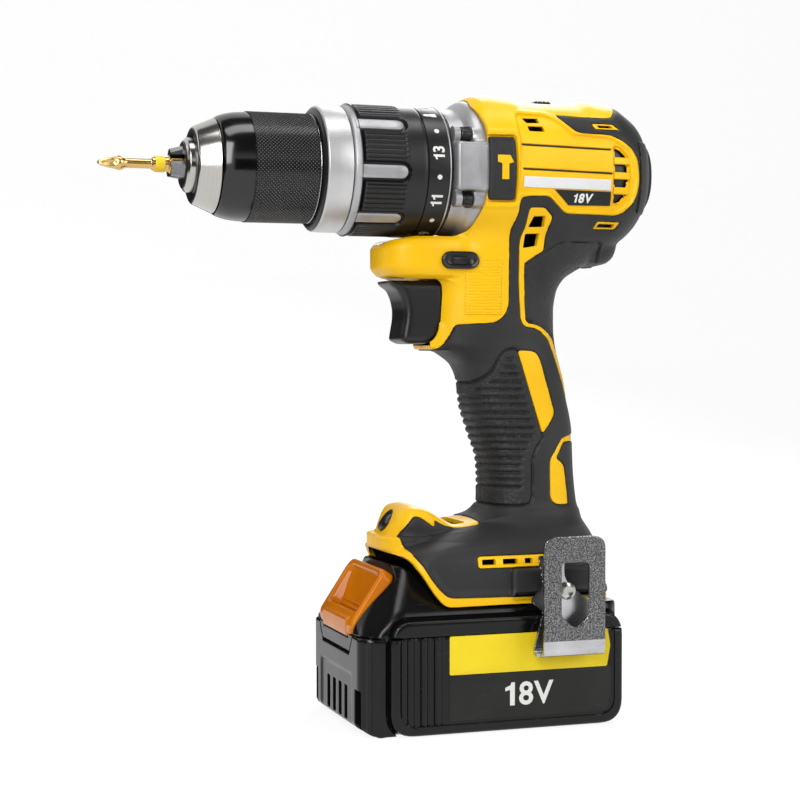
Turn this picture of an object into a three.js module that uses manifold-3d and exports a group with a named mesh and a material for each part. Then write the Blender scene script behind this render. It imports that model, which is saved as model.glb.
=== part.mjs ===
// Cordless hammer drill with a keyless chuck, a two-stage planetary gearbox, a
// brushless motor, a trigger handle, a belt hook and a slide-on battery pack.
// Millimetres, +Z up, chuck towards -X. The origin is the middle of the
// battery's flat underside; the drive line runs along X at AXIS_Z.
import * as THREE from 'three';
import { mergeVertices } from 'three/addons/utils/BufferGeometryUtils.js';
import Module from 'manifold-3d';

const wasm = await Module();
wasm.setup();

// ---------------------------------------------------------------- sizes
const AXIS_Z = 210; // height of the drive line
const GAP = 0.3; // clearance between neighbouring pieces
const SLIDE_GAP = 0.4; // clearance round a piece that slides
const WALL = 2.6; // clamshell wall
const SKIN = 1.6; // rubber overmould thickness
const SEAM = 0.15; // half the gap between the two housing halves
const FAR = 300; // longer than the whole tool, for cutting tools
const RING_POINTS = 20; // points round a lofted section
const HOLLOW_POINTS = 8; // points round a section of the hollow
const CORNER_POINTS = 4; // points round each corner of a boxy section
const ROUND = 24; // segments round a turned piece
const SMALL_ROUND = 20; // segments round a small turned piece
const HOLE_ROUND = 12; // segments round a small hole or pin
const WELD = 1e-3; // vertices nearer than this are one
const SLIVER = 0.02; // edges shorter than this are collapsed

// battery pack: ten 18650 cells lying across the tool
const CELL_R = 9.15;
const CELL_LENGTH = 65;
const CELL_GAP = 0.35;
const CELL_ROWS = 2;
const CELLS_PER_ROW = 5;
const CASE_WALL = 2.6;
const CASE_CORNER = 9; // plan corner radius of the battery
const END_ROOM = 3.1; // between the end cells and the case's end walls
const SIDE_ROOM = 1.9; // between the cells' ends and the case's side walls
const LID_ROOM = 2.15; // from the cells to the top of the lower case
const DECK_RISE = 4.3; // the cover's flat deck above the lower case
const RAIL_RISE = 11.7; // the slide rail above the deck
const RAIL_HALF = 23; // half width of the slide rail
const RAIL_ROOM = 1; // clearance of the rail in its tunnel
const RAIL_END = 29; // rear end of the rail
const LATCH_MARGIN = 15; // from the latch's end to the battery's side
const LATCH_THICK = 4.2;
const LATCH_TRAVEL = 3;
const LATCH_ROOM = 0.8; // left behind the latch when it is pressed
const POCKET_DEPTH = 11; // contact pocket in the rail's rear end
const POCKET_HALF = 16;
const POCKET_LOW = 2.7; // its floor above the deck
const POCKET_LID = 1.5; // rail left above it
const COVER_WALL = 4; // thickness of the rail's sides
const TERMINAL_LENGTH = 17;
const TERMINAL_HALF = 17;
const CELL_PITCH = 2 * CELL_R + CELL_GAP;
const PACK_HALF_X = CELLS_PER_ROW * CELL_PITCH / 2 + CASE_WALL + END_ROOM;
const PACK_HALF_Y = CELL_LENGTH / 2 + CASE_WALL + SIDE_ROOM;
const CASE_TOP = CASE_WALL + GAP + 2 * CELL_R + (CELL_ROWS - 1) * CELL_PITCH + LID_ROOM;
const DECK_TOP = CASE_TOP + DECK_RISE;
const RAIL_TOP = DECK_TOP + RAIL_RISE;

// planetary gears
const MODULE_SIZE = 0.85;
const SUN_TEETH = 12;
const PLANET_TEETH = 15;
const RING_TEETH = SUN_TEETH + 2 * PLANET_TEETH;
const PLANETS = 3;
const ADDENDUM = 0.7;
const DEDENDUM = 1;
const TOOTH_TIP = 0.6; // tooth width at its tip
const TOOTH_ROOT = 1.3; // tooth width at its root
const PIN_R = 1.6;
const CARRIER_RIM = 3.6; // carrier disc outside its pins' circle
const GEAR_WIDTH = 8.6;
const DISC = 3.5; // carrier disc thickness
const RING_RIM = 1.25; // ring gear outside its tooth roots
const pitchR = (teeth) => MODULE_SIZE * teeth / 2;
const ORBIT_R = pitchR(SUN_TEETH) + pitchR(PLANET_TEETH);
const RING_GEAR_R = pitchR(RING_TEETH) + DEDENDUM + RING_RIM;

// motor
const SHAFT_R = 2.5;
const STATOR_R = 25.1;
const STATOR_LENGTH = 20;
const ROTOR_R = 14;
const AIR_GAP = 0.6; // between rotor and stator
const ROTOR_INSET = 1; // the rotor's ends inside the stator's
const FAN_R = 22.5;
const FAN_WIDTH = 4.6;
const FAN_DISC = 1.2; // thickness of the fan's back plate
const FAN_HUB_R = 7;
const BLADES = 9;
const BLADE_THICK = 1.2;
const FAN_SPACE = 3; // from the stator to the fan
const BEARING_R = 8;
const BEARING_WIDTH = 5;
const BEARING_SPACE = 3.4; // from the fan to the bearing
const BEARING_SEAT = 2.4; // wall of the rear bearing's seat

// tool body
const FOOT_BOTTOM = DECK_TOP + 2 * GAP;
const FOOT_HALF = PACK_HALF_Y - 2.5;
const FOOT_BACK = PACK_HALF_X - 0.8;
const GRIP_HALF = 16.6; // half width of the handle where the hand holds it
const MOTOR_BAY_R = STATOR_R + GAP;
const BARREL_WALL = 5.2; // the barrel's side outside the motor bay
const BARREL_HALF = MOTOR_BAY_R + BARREL_WALL;
const BARREL_POWER = 2.3; // how square the barrel's section is
const HOUSING_END = 61; // rear face of the clamshells
const TAIL_END = HOUSING_END + 13.6; // rear end of the rear cover
const BEARING_FRONT = HOUSING_END + 2;
const BEARING_BACK = BEARING_FRONT + BEARING_WIDTH;
const FAN_FRONT = BEARING_FRONT - BEARING_SPACE - FAN_WIDTH;
const STATOR_FRONT = FAN_FRONT - FAN_SPACE - STATOR_LENGTH;

// drive line stations along X, from the yellow housing forwards
const CASE_BACK = -0.9; // where the yellow housing starts
const CASE_BAND = 11.8; // the gearcase's visible band
const COLLAR_LENGTH = 49.3;
const NUMBER_BAND = 9.3; // the numbered ring at the collar's rear
const GRIP_BAND = 26.2; // the ribbed grip in front of it
const TRIM_BAND = 10.6; // the satin ring in front of that
const SLEEVE_SPACE = 3.2; // from the collar to the chuck's sleeve
const SLEEVE_LENGTH = 33.4;
const KNURL_START = 11.8; // behind the sleeve's front
const CONE_LENGTH = 8.4;
const NOSE_LENGTH = 3.2; // chuck body in front of the cone
const JAW_REACH = 5.2; // jaws in front of the chuck body
const BIT_REACH = 31.2; // bit in front of the chuck body
const CASE_FRONT = CASE_BACK - CASE_BAND;
const COLLAR_BACK = CASE_FRONT - SLIDE_GAP;
const GRIP_BACK = COLLAR_BACK - NUMBER_BAND;
const TRIM_BACK = GRIP_BACK - GRIP_BAND;
const TRIM_FRONT = TRIM_BACK - TRIM_BAND;
const COLLAR_FRONT = COLLAR_BACK - COLLAR_LENGTH;
const SLEEVE_BACK = COLLAR_FRONT - SLEEVE_SPACE;
const SLEEVE_FRONT = SLEEVE_BACK - SLEEVE_LENGTH;
const KNURL_FRONT = SLEEVE_FRONT + KNURL_START;
const CONE_FRONT = SLEEVE_FRONT - CONE_LENGTH;
const BODY_FRONT = CONE_FRONT - NOSE_LENGTH;
const JAW_TIP = BODY_FRONT - JAW_REACH;
const BIT_TIP = BODY_FRONT - BIT_REACH;
const STAGE_TWO = CASE_FRONT + 3.3; // front of the output carrier
const STAGE_ONE = STAGE_TWO + DISC + GEAR_WIDTH + 3 * GAP;
const PINION_FRONT = STAGE_ONE + DISC + 2 * GAP;
const PLUG_END = STAGE_ONE + DISC + GAP + GEAR_WIDTH + 5; // rear end of the gearcase

// drive line radii
const GEARCASE_WALL = 3.8;
const GEARCASE_R = RING_GEAR_R + GAP + GEARCASE_WALL;
const NUMBER_R = GEARCASE_R + 0.5;
const GRIP_R = NUMBER_R + 0.4;
const TRIM_R = GRIP_R - 1.5;
const TRIM_THICK = 2.8; // depth of the satin ring's seat in the collar
const COLLAR_WALL = 3.1; // thickness of the collar's hollow rear part
const SPINDLE_R = 6;
const SPINDLE_END_R = 4;
const BUSH_R = SPINDLE_R + 1.7; // gearcase nose bore
const NOSE_R = 14.5; // gearcase nose tube under the collar
const BODY_R = 10.1; // nose of the chuck body
const BORE_R = 6.75; // 13 mm chuck capacity with clearance
const SLEEVE_R = 20.6;
const SLEEVE_FRONT_R = SLEEVE_R - 3.1;
const CONE_R = SLEEVE_FRONT_R - 3.2;
const SLEEVE_BORE_R = 15.9; // clears the jaws when they are drawn back
const CORE_R = SLEEVE_BORE_R - 1.7; // chuck body inside the sleeve
const CONE_BORE_R = 11.4;
const SOCKET_DEPTH = 16.4; // spindle inside the chuck

// jaws: three hardened pins on bores that lean in towards the nose
const JAW_R = 3.1;
const JAW_TILT = THREE.MathUtils.degToRad(15);
const JAW_COUNT = 3;
const JAW_TIP_R = 2.4; // a jaw's axis stands this far from the drive line there
const JAW_LENGTH = 26;
const JAW_TRAVEL = 14; // room behind the jaws
const JAW_GRIP = 3.5; // radius the jaws close on: the bit's hexagon with clearance

// screwdriver bit, 1/4 inch hexagon
const HEX_FLATS = 6.35;
const BIT_HEAD_R = 2.5;
const BIT_NECK_R = 1.85;
const BIT_COLLAR_R = 2.6;
const BAND_R = 3.1;
const HEX_FRONT = BODY_FRONT - 8.4;
const BIT_END = BODY_FRONT + 18.6;

// controls
const TRIGGER_HALF = 9.4;
const TRIGGER_BACK = -9;
const TRIGGER_TRAVEL = 7;
const TRIGGER_LOW = 144.6; // drawn height of its lower edge
const TRIGGER_HIGH = 168.4; // drawn height of its upper edge
const SLOT_ROOM = 1; // clearance at each side of the trigger
const SWITCH_BACK = 26;
const BUTTON_X = -8.1;
const BUTTON_Z = 175.6; // drawn height of its middle
const BUTTON_LENGTH = 15;
const BUTTON_HEIGHT = 7;
const BUTTON_REACH = 21.4; // how far the button stands out to each side
const SELECTOR_FRONT = 27;
const SELECTOR_LENGTH = 7.6;
const SELECTOR_HALF = 8;
const SELECTOR_TRAVEL = 7;
const SELECTOR_TOP = BARREL_HALF - 1.3; // above the drive line
const SELECTOR_CAP = 2.3; // height of the selector's raised middle
const LAMP_R = 3.6;
const LAMP_TILT = THREE.MathUtils.degToRad(36);

// belt hook
const HOOK_SHEET = 2;
const HOOK_DEPTH = 9.3; // over both legs
const HOOK_BACK = PACK_HALF_Y + 0.7; // its inner face, clear of the battery's side
const HOOK_FRONT = HOOK_BACK + HOOK_DEPTH; // its outer face
const HOOK_LEFT = 13.8;
const HOOK_RIGHT = 39.1;
const HOOK_X = (HOOK_LEFT + HOOK_RIGHT) / 2;
const HOOK_CORNER = 5;
const HOOK_SLOT_HALF = 5.6;
const SCREW_HEAD_R = 3.6;
const SCREW_HEAD = 2.2;
const SCREW_R = 2;
const SCREW_TIP = 30; // how near the middle plane the screw reaches

// The side profiles are drawn for a foot at DRAWN_FOOT, a drive line at
// DRAWN_AXIS and a battery of half length DRAWN_PACK. lift() and ahead() carry
// drawn places to where those three are.
const DRAWN_FOOT = 46.9;
const DRAWN_AXIS = 210;
const DRAWN_PACK = 52.325;
const HAND_LOW = 84; // the hand holds the handle between these drawn heights
const HAND_HIGH = 121;
const ahead = (x) => x + DRAWN_PACK - PACK_HALF_X;
const lift = (z) => {
  const low = z - DRAWN_FOOT + FOOT_BOTTOM;
  const high = z - DRAWN_AXIS + AXIS_Z;
  const share = (z - HAND_LOW) / (HAND_HIGH - HAND_LOW);
  return low + (high - low) * THREE.MathUtils.clamp(share, 0, 1);
};
const lifted = (points) => points.map(([x, z]) => [x, lift(z)]);
const raised = (rows) => rows.map(([z, ...rest]) => [lift(z), ...rest]);
const HOOK_TOP = lift(73);
const HOOK_BOTTOM = lift(28.6);
const HOOK_ROOT = lift(61);
const HOOK_SCREW_Z = lift(52);

// ---------------------------------------------------------------- materials
const finish = (color, roughness, metalness = 0) =>
  new THREE.MeshStandardMaterial({ color, roughness, metalness });
const YELLOW = finish(0xffc81e, 0.45);
const RUBBER = finish(0x232325, 0.8);
const BLACK = finish(0x18181a, 0.5);
const GLOSS = finish(0x0e0e10, 0.25);
const AMBER = finish(0xf5a400, 0.3);
const CAST = finish(0xb9bcbe, 0.55, 0.8);
const STEEL = finish(0xc9ccd0, 0.3, 1);
const DARK_STEEL = finish(0x77797d, 0.4, 1);
const GOLD = finish(0xc9a45a, 0.3, 1);
const COPPER = finish(0xb87333, 0.4, 0.9);
const CLEAR = finish(0xe8eef2, 0.1);
const CELL = finish(0x2f7fb5, 0.4);
const BOARD = finish(0x24573a, 0.6);

// ---------------------------------------------------------------- solids
/** Closed mesh geometry to a solid, its shared vertices merged. */
function solid(geometry) {
  const bare = geometry.clone();
  bare.deleteAttribute('normal');
  bare.deleteAttribute('uv');
  const merged = mergeVertices(bare, WELD);
  const position = merged.attributes.position.array;
  const index = Uint32Array.from(merged.index.array);
  if (signedVolume(position, index) < 0) {
    for (let i = 0; i < index.length; i += 3) {
      [index[i], index[i + 1]] = [index[i + 1], index[i]];
    }
  }
  const mesh = new wasm.Mesh({
    numProp: 3,
    vertProperties: Float32Array.from(position),
    triVerts: index,
    tolerance: SLIVER,
  });
  return new wasm.Manifold(mesh);
}

/** Six times the volume inside a triangle mesh; negative when inside out. */
function signedVolume(position, index) {
  const corner = [new THREE.Vector3(), new THREE.Vector3(), new THREE.Vector3()];
  let sum = 0;
  for (let i = 0; i < index.length; i += 3) {
    corner.forEach((v, k) => v.fromArray(position, 3 * index[i + k]));
    sum += corner[0].dot(corner[1].cross(corner[2]));
  }
  return sum;
}

/** Solid to geometry. */
function geometryOf(body) {
  const { vertProperties, triVerts } = body.getMesh();
  const geometry = new THREE.BufferGeometry();
  geometry.setAttribute('position', new THREE.BufferAttribute(vertProperties, 3));
  geometry.setIndex(new THREE.BufferAttribute(triVerts, 1));
  geometry.computeVertexNormals();
  return geometry;
}

/** The main body of a solid, welded, without crumbs that grazing faces leave. */
function main(body) {
  const biggest = (one) =>
    one.decompose().reduce((big, next) => (next.volume() > big.volume() ? next : big));
  const welded = solid(geometryOf(biggest(body)));
  return biggest(solid(geometryOf(biggest(welded))));
}

const join = (first, ...rest) => rest.reduce((sum, next) => sum.add(next), first);
const cut = (first, ...rest) => rest.reduce((sum, next) => sum.subtract(next), first);
const common = (first, second) => first.intersect(second);
// turns the XY plane into YZ and its normal into X
const STAND = new THREE.Matrix4().makeBasis(
  new THREE.Vector3(0, 1, 0), new THREE.Vector3(0, 0, 1), new THREE.Vector3(1, 0, 0));

/** Box between two corners. */
function box(x0, x1, y0, y1, z0, z1) {
  const geometry = new THREE.BoxGeometry(x1 - x0, y1 - y0, z1 - z0);
  return solid(geometry.translate((x0 + x1) / 2, (y0 + y1) / 2, (z0 + z1) / 2));
}

/** Cylinder of radius r from point a to point b. */
function rod(r, a, b, segments) {
  const start = new THREE.Vector3(...a);
  const along = new THREE.Vector3(...b).sub(start);
  const geometry = new THREE.CylinderGeometry(r, r, along.length(), segments);
  geometry.translate(0, along.length() / 2, 0);
  const turn = new THREE.Quaternion().setFromUnitVectors(
    new THREE.Vector3(0, 1, 0), along.clone().normalize());
  geometry.applyQuaternion(turn);
  return solid(geometry.translate(...start.toArray()));
}

/** Turned piece about the X axis from its closed profile of [x, radius]. */
function turned(profile, segments = ROUND) {
  const points = [...profile, profile[0]].map(([x, r]) => new THREE.Vector2(r, x));
  const geometry = new THREE.LatheGeometry(points, segments);
  return solid(geometry.rotateZ(-Math.PI / 2));
}

/** Outline in the XZ plane, [x, z], carried from y0 to y1, its rims rounded by bevel. */
function slab(outline, y0, y1, bevel = 0) {
  const shape = new THREE.Shape(outline.map(([x, z]) => new THREE.Vector2(x, z)));
  const geometry = new THREE.ExtrudeGeometry(shape, {
    depth: y1 - y0 - 2 * bevel,
    bevelEnabled: bevel > 0,
    bevelThickness: bevel,
    bevelSize: bevel,
    bevelOffset: -bevel,
    bevelSegments: 2,
    curveSegments: 8,
  });
  return solid(geometry.rotateX(Math.PI / 2).translate(0, y1 - bevel, 0));
}

/** Outline in the YZ plane, [y, z], carried from x0 to x1. */
function bar(outline, x0, x1) {
  const shape = new THREE.Shape(outline.map(([y, z]) => new THREE.Vector2(y, z)));
  const geometry = new THREE.ExtrudeGeometry(shape, { depth: x1 - x0, bevelEnabled: false });
  return solid(geometry.applyMatrix4(STAND).translate(x0, 0, 0));
}

/** Points of a superellipse: |u/a|^power + |v/b|^power = 1. */
function superellipse(a, b, power, count = RING_POINTS) {
  return Array.from({ length: count }, (_, i) => {
    const t = 2 * Math.PI * (i + 0.5) / count;
    const [c, s] = [Math.cos(t), Math.sin(t)];
    const u = Math.sign(c) * Math.abs(c) ** (2 / power);
    const v = Math.sign(s) * Math.abs(s) ** (2 / power);
    return [a * u, b * v];
  });
}

/** Points of a rectangle with rounded corners. */
function roundRect(a, b, radius) {
  const steps = CORNER_POINTS;
  const r = Math.min(radius, a, b);
  return Array.from({ length: 4 * steps }, (_, i) => {
    const quarter = Math.floor(i / steps);
    const t = Math.PI / 2 * (quarter + (i % steps) / (steps - 1));
    const su = quarter === 0 || quarter === 3 ? 1 : -1;
    const sv = quarter < 2 ? 1 : -1;
    return [su * (a - r) + r * Math.cos(t), sv * (b - r) + r * Math.sin(t)];
  });
}

/** Closed skin over a run of rings with equal counts, capped by fans. */
function loft(rings) {
  const count = rings[0].length;
  const position = rings.flat(2);
  const index = [];
  for (let k = 0; k + 1 < rings.length; k += 1) {
    for (let i = 0; i < count; i += 1) {
      const next = (i + 1) % count;
      const [a, b] = [k * count + i, k * count + next];
      index.push(a, b, b + count, a, b + count, a + count);
    }
  }
  [rings[0], rings.at(-1)].forEach((ring, end) => {
    const hub = position.length / 3;
    const sum = ring.reduce((s, p) => s.map((v, k) => v + p[k] / count), [0, 0, 0]);
    position.push(...sum);
    const base = end * (rings.length - 1) * count;
    for (let i = 0; i < count; i += 1) {
      const next = (i + 1) % count;
      const face = [base + next, base + i, hub];
      index.push(...(end ? face.reverse() : face));
    }
  });
  const geometry = new THREE.BufferGeometry();
  geometry.setAttribute('position', new THREE.Float32BufferAttribute(position, 3));
  geometry.setIndex(index);
  return solid(geometry);
}

/** Rows between two places along the body, with rows of their own at both. */
function trimmed(rows, low, high) {
  const at = (place) => {
    const below = rows.filter(([x]) => x < place).length;
    const after = Math.min(Math.max(below, 1), rows.length - 1);
    const [a, b] = [rows[after - 1], rows[after]];
    const share = (place - a[0]) / (b[0] - a[0]);
    return a.map((value, k) => value + share * (b[k] - value));
  };
  const inside = rows.filter(([x]) => x > low + GAP && x < high - GAP);
  return [at(low), ...inside, at(high)];
}

/** Body along X from stations [x, half width, up, down], shrunk by inset. */
function alongX(stations, power, inset = 0, frontInset = inset) {
  const rows = trimmed(stations, stations[0][0] + frontInset, stations.at(-1)[0] - inset);
  return loft(rows.map(([x, half, up, down]) => {
    const middle = AXIS_Z + (up - down) / 2;
    const ring = superellipse(half - inset, (up + down) / 2 - inset, power);
    return ring.map(([u, v]) => [x, u, middle + v]);
  }));
}

/** Body along Z from levels [z, front, back, half width], shrunk by inset. */
function alongZ(levels, ringOf, inset = 0, bottomInset = inset) {
  const ordered = [...levels].sort((a, b) => a[0] - b[0]);
  const rows = trimmed(ordered, ordered[0][0] + bottomInset, ordered.at(-1)[0] - inset);
  return loft(rows.map(([z, front, back, half]) => {
    const ring = ringOf((back - front) / 2 - inset, half - inset, inset);
    const middle = (front + back) / 2;
    return ring.map(([u, v]) => [middle + u, v, z]);
  }));
}

const soft = (power) => (a, b) => superellipse(a, b, power);
const boxy = (radius) => (a, b, inset) => roundRect(a, b, Math.max(radius - inset, 1));
const octagon = (a, b) => superellipse(a, b, 4, HOLLOW_POINTS);
const axial = (r, x0, x1, segments = ROUND) => rod(r, [x0, 0, AXIS_Z], [x1, 0, AXIS_Z], segments);

const drill = new THREE.Group();
const driveLine = new THREE.Group(); // everything turned about the axis
driveLine.position.z = AXIS_Z;
const battery = new THREE.Group();
drill.add(driveLine, battery);

/** Names a solid and hangs it in a group. */
function piece(group, name, body, material) {
  const mesh = new THREE.Mesh(geometryOf(body), material);
  mesh.name = name;
  group.add(mesh);
  return mesh;
}

// ---------------------------------------------------------------- tool body
/** Barrel stations [x, and how far its side, top and bottom lie inside BARREL_HALF]. */
const barrel = (rows) => rows.map(([x, side, up, down]) =>
  [x, BARREL_HALF - side, BARREL_HALF - up, BARREL_HALF - down]);
const BARREL = barrel([
  [CASE_BACK, 1.6, 1.8, 3.6], [CASE_BACK + 4.9, 0.6, 0.6, 1.6], [CASE_BACK + 14.9, 0, 0.3, 0.6],
  [CASE_BACK + 18.9, 0, 2.7, 0.6], [HOUSING_END - 18, 0, 2.8, 0.6], [HOUSING_END - 14, 0, 1.4, 0.6],
  [HOUSING_END - 6, 0, 1.4, 1.6], [HOUSING_END, 1.4, 5, 3.6],
]);
// height, front, back and half width
const HANDLE = raised([
  [68, -16, 50.4, 28], [73, -6, 49.6, 24.5], [78.5, 4.6, 48.4, 19.4],
  [84, 7.2, 46.6, GRIP_HALF + 0.4], [98, 5.8, 45.8, GRIP_HALF], [121, -1.6, 44.3, GRIP_HALF],
  [134, -3.6, 41.6, GRIP_HALF + 0.6], [139.6, -10.6, 40.3, GRIP_HALF + 0.7],
  [143.2, -22.4, 39.3, GRIP_HALF + 0.7], [149, -17, 38.2, GRIP_HALF + 1],
  [164, -16, 39.2, GRIP_HALF + 1.2], [171, -16, 45.5, GRIP_HALF + 2.2],
  [178, -16, 55, GRIP_HALF + 3.8], [188, -12, 52, GRIP_HALF + 4.9],
]);
const CHIN = raised([
  [168.9, -32.5, -6, 13.6], [172.5, -37, -6, 16.2], [180.5, -37.6, -6, 16.8], [184.2, -30, -6, 15],
]);
const FOOT_FRONT = ahead(-38);
const FOOT = raised([
  [46.9, FOOT_FRONT, FOOT_BACK, FOOT_HALF], [61, FOOT_FRONT, FOOT_BACK, FOOT_HALF],
  [67, FOOT_FRONT + 4, FOOT_BACK - 0.5, FOOT_HALF - 3], [75.6, FOOT_FRONT + 17, FOOT_BACK - 4, 20],
]);
const NOSE = raised([
  [63.4, FOOT_FRONT + 5, 6, 16], [67, FOOT_FRONT + 0.4, 6, 18.4], [72, FOOT_FRONT - 0.4, 4, 18.8],
  [79.5, FOOT_FRONT + 6, -4, 17], [84.6, FOOT_FRONT + 12.2, -14, 13],
]);
// the hollow inside, from simple sections that clear the switch and the boards
const HANDLE_HOLLOW = raised([
  [62, ahead(-22), 46, 24], [69, -10, 44, 19], [84, 11, 42, 12.4], [100, 9.8, 41.4, 12.6],
  [134, 1, 37, 12.8], [153, -12.6, 33.4, 13.6], [171, -12.6, 34, 13.8], [186, -9, 40, 14],
]);

/** The tool's outer form, shrunk by inset. */
function form(inset) {
  return join(
    alongX(BARREL, BARREL_POWER, inset, 0),
    alongZ(HANDLE, soft(2.5), inset, 0),
    alongZ(CHIN, soft(3), inset),
    alongZ(FOOT, boxy(10), inset, 0),
    alongZ(NOSE, soft(3.4), inset),
  );
}

// the front of the foot follows the battery's shoulder
const SHOULDER = lifted([
  [-FAR, 40], [ahead(-16.8), 40], [ahead(-16.8), 46.6], [ahead(-20.6), 49], [ahead(-24.6), 56],
  [ahead(-29.4), 61.2], [ahead(-37), 64.6], [-FAR, 64.6],
]);
// rubber zone seen from the side
const GRIP_ZONE = lifted([
  [11.8, 200.5], [26, 200.5], [31, 194], [HOUSING_END - 11, 193.5], [HOUSING_END - 3, 205],
  [HOUSING_END + 9, 205], [HOUSING_END + 29, 180], [HOUSING_END + 29, 50.2], [13, 50.2],
  [ahead(-15.6), 50.6], [ahead(-21), 54.4], [ahead(-27.4), 63.4], [ahead(-25.6), 70.6], [-13, 79],
  [-12, 84], [-30, 90], [-30, 138.6], [-16, 140.6], [-12.6, 148.4], [8.1, 151.8], [11.8, 156.4],
]);

/** Moves an outline's corners inwards by a distance. */
function shrink(outline, distance) {
  const count = outline.length;
  const points = outline.map(([x, z]) => new THREE.Vector2(x, z));
  const turn = Math.sign(THREE.ShapeUtils.area(points));
  return points.map((p, i) => {
    const before = p.clone().sub(points[(i + count - 1) % count]).normalize();
    const after = points[(i + 1) % count].clone().sub(p).normalize();
    const normal = new THREE.Vector2(-before.y - after.y, before.x + after.x);
    const scale = turn * distance * 2 / normal.lengthSq();
    return [p.x + normal.x * scale, p.y + normal.y * scale];
  });
}

const FLARE_END = CASE_BACK - GAP;
const FLARE = [
  [CASE_BACK - 8, GEARCASE_R, GEARCASE_R, GEARCASE_R],
  [CASE_BACK - 4, BARREL_HALF - 3.6, BARREL_HALF - 4.4, BARREL_HALF - 5.6],
  [FLARE_END, BARREL_HALF - 1.6, BARREL_HALF - 1.8, BARREL_HALF - 3.8],
];
const gearcaseRoom = join(
  alongX(FLARE, BARREL_POWER, -GAP),
  axial(GEARCASE_R + GAP, -FAR, CASE_BACK - 6),
  axial(GRIP_R + 2 * GAP, -FAR, COLLAR_BACK + GAP));
const shoulderCut = slab(SHOULDER, -FAR, FAR);
const outer = cut(form(0), shoulderCut, gearcaseRoom);
const gripZone = slab(GRIP_ZONE, -FAR, FAR);
const rubberZone = slab(shrink(GRIP_ZONE, GAP), -FAR, FAR);
const railTunnel = box(
  -FAR, RAIL_END + TERMINAL_LENGTH, -RAIL_HALF - RAIL_ROOM, RAIL_HALF + RAIL_ROOM, 0,
  RAIL_TOP + RAIL_ROOM);
const core = join(alongZ(HANDLE_HOLLOW, octagon), axial(MOTOR_BAY_R, -5, FAR));

const triggerSlot = box(
  -FAR, 2, -TRIGGER_HALF - SLOT_ROOM, TRIGGER_HALF + SLOT_ROOM,
  lift(TRIGGER_LOW) - SLIDE_GAP, lift(TRIGGER_HIGH) + SLIDE_GAP);
const buttonZ = lift(BUTTON_Z);
const buttonSlot = box(
  BUTTON_X - BUTTON_LENGTH / 2 - GAP, BUTTON_X + BUTTON_LENGTH / 2 + GAP, -FAR, FAR,
  buttonZ - BUTTON_HEIGHT / 2 - GAP, buttonZ + BUTTON_HEIGHT / 2 + GAP);
const selectorSlot = box(
  SELECTOR_FRONT - GAP, SELECTOR_FRONT + SELECTOR_LENGTH + SELECTOR_TRAVEL + GAP,
  -SELECTOR_HALF - GAP, SELECTOR_HALF + GAP, AXIS_Z + STATOR_R - 5, AXIS_Z + FAR);

// lamp in the foot's nose, looking forward and up
const LAMP = [FOOT_FRONT + 6.6, lift(76.6)];
const lampAt = (distance) => [
  LAMP[0] - distance * Math.cos(LAMP_TILT), 0, LAMP[1] + distance * Math.sin(LAMP_TILT)];
const LAMP_HOLE = [-9, 12]; // from behind the lens to outside the nose
const lampHole = rod(LAMP_R + GAP, ...LAMP_HOLE.map(lampAt), SMALL_ROUND);

// vents: four windows near the rear of the barrel on each side
const REAR_VENTS = [198.6, 204.6, 210.2, 215.6];
const VENT_HEIGHT = 3.4;
const VENT_FRONT = HOUSING_END - 9.8;
const VENT_LENGTH = 4.6;
const ventCuts = REAR_VENTS.map((z) => box(
  VENT_FRONT, VENT_FRONT + VENT_LENGTH, -FAR, FAR,
  lift(z) - VENT_HEIGHT / 2, lift(z) + VENT_HEIGHT / 2));

// the belt hook's boss on the foot's left side
const BOSS_FRONT = 6.4;
const BOSS_BACK = 32;
const BOSS_LOW = lift(48.8);
const BOSS_HIGH = lift(60.6);
const BOSS_ROOT = FOOT_HALF - 3;
const hookScrewAt = (y) => [HOOK_X, y, HOOK_SCREW_Z];
const hookScrewHole = rod(
  SCREW_R + GAP, hookScrewAt(-HOOK_FRONT - SCREW_R), hookScrewAt(-SCREW_TIP + 0.5), HOLE_ROUND);
const hookBoss = box(BOSS_FRONT, BOSS_BACK, -HOOK_BACK + GAP, -BOSS_ROOT, BOSS_LOW, BOSS_HIGH);
const bossRoom = box(
  BOSS_FRONT - SLIDE_GAP, BOSS_BACK + SLIDE_GAP, -FAR, -BOSS_ROOT,
  BOSS_LOW - GAP, BOSS_HIGH + GAP);

const leftHalf = box(-FAR, FAR, -FAR, -SEAM, -FAR, FAR);
const rightHalf = box(-FAR, FAR, SEAM, FAR, -FAR, FAR);
const base = common(form(SKIN + GAP), slab(shrink(GRIP_ZONE, -WALL / 2), -FAR, FAR));
const shell = cut(
  join(cut(outer, gripZone), cut(base, shoulderCut, gearcaseRoom), hookBoss),
  core, railTunnel, triggerSlot, buttonSlot, selectorSlot, lampHole, hookScrewHole, ...ventCuts);
const skin = cut(
  common(outer, rubberZone), form(SKIN), core, triggerSlot, railTunnel, bossRoom);
piece(drill, 'housing_left', main(common(shell, leftHalf)), YELLOW);
piece(drill, 'housing_right', main(common(shell, rightHalf)), YELLOW);
piece(drill, 'grip_left', main(common(skin, leftHalf)), RUBBER);
piece(drill, 'grip_right', main(common(skin, rightHalf)), RUBBER);

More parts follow.
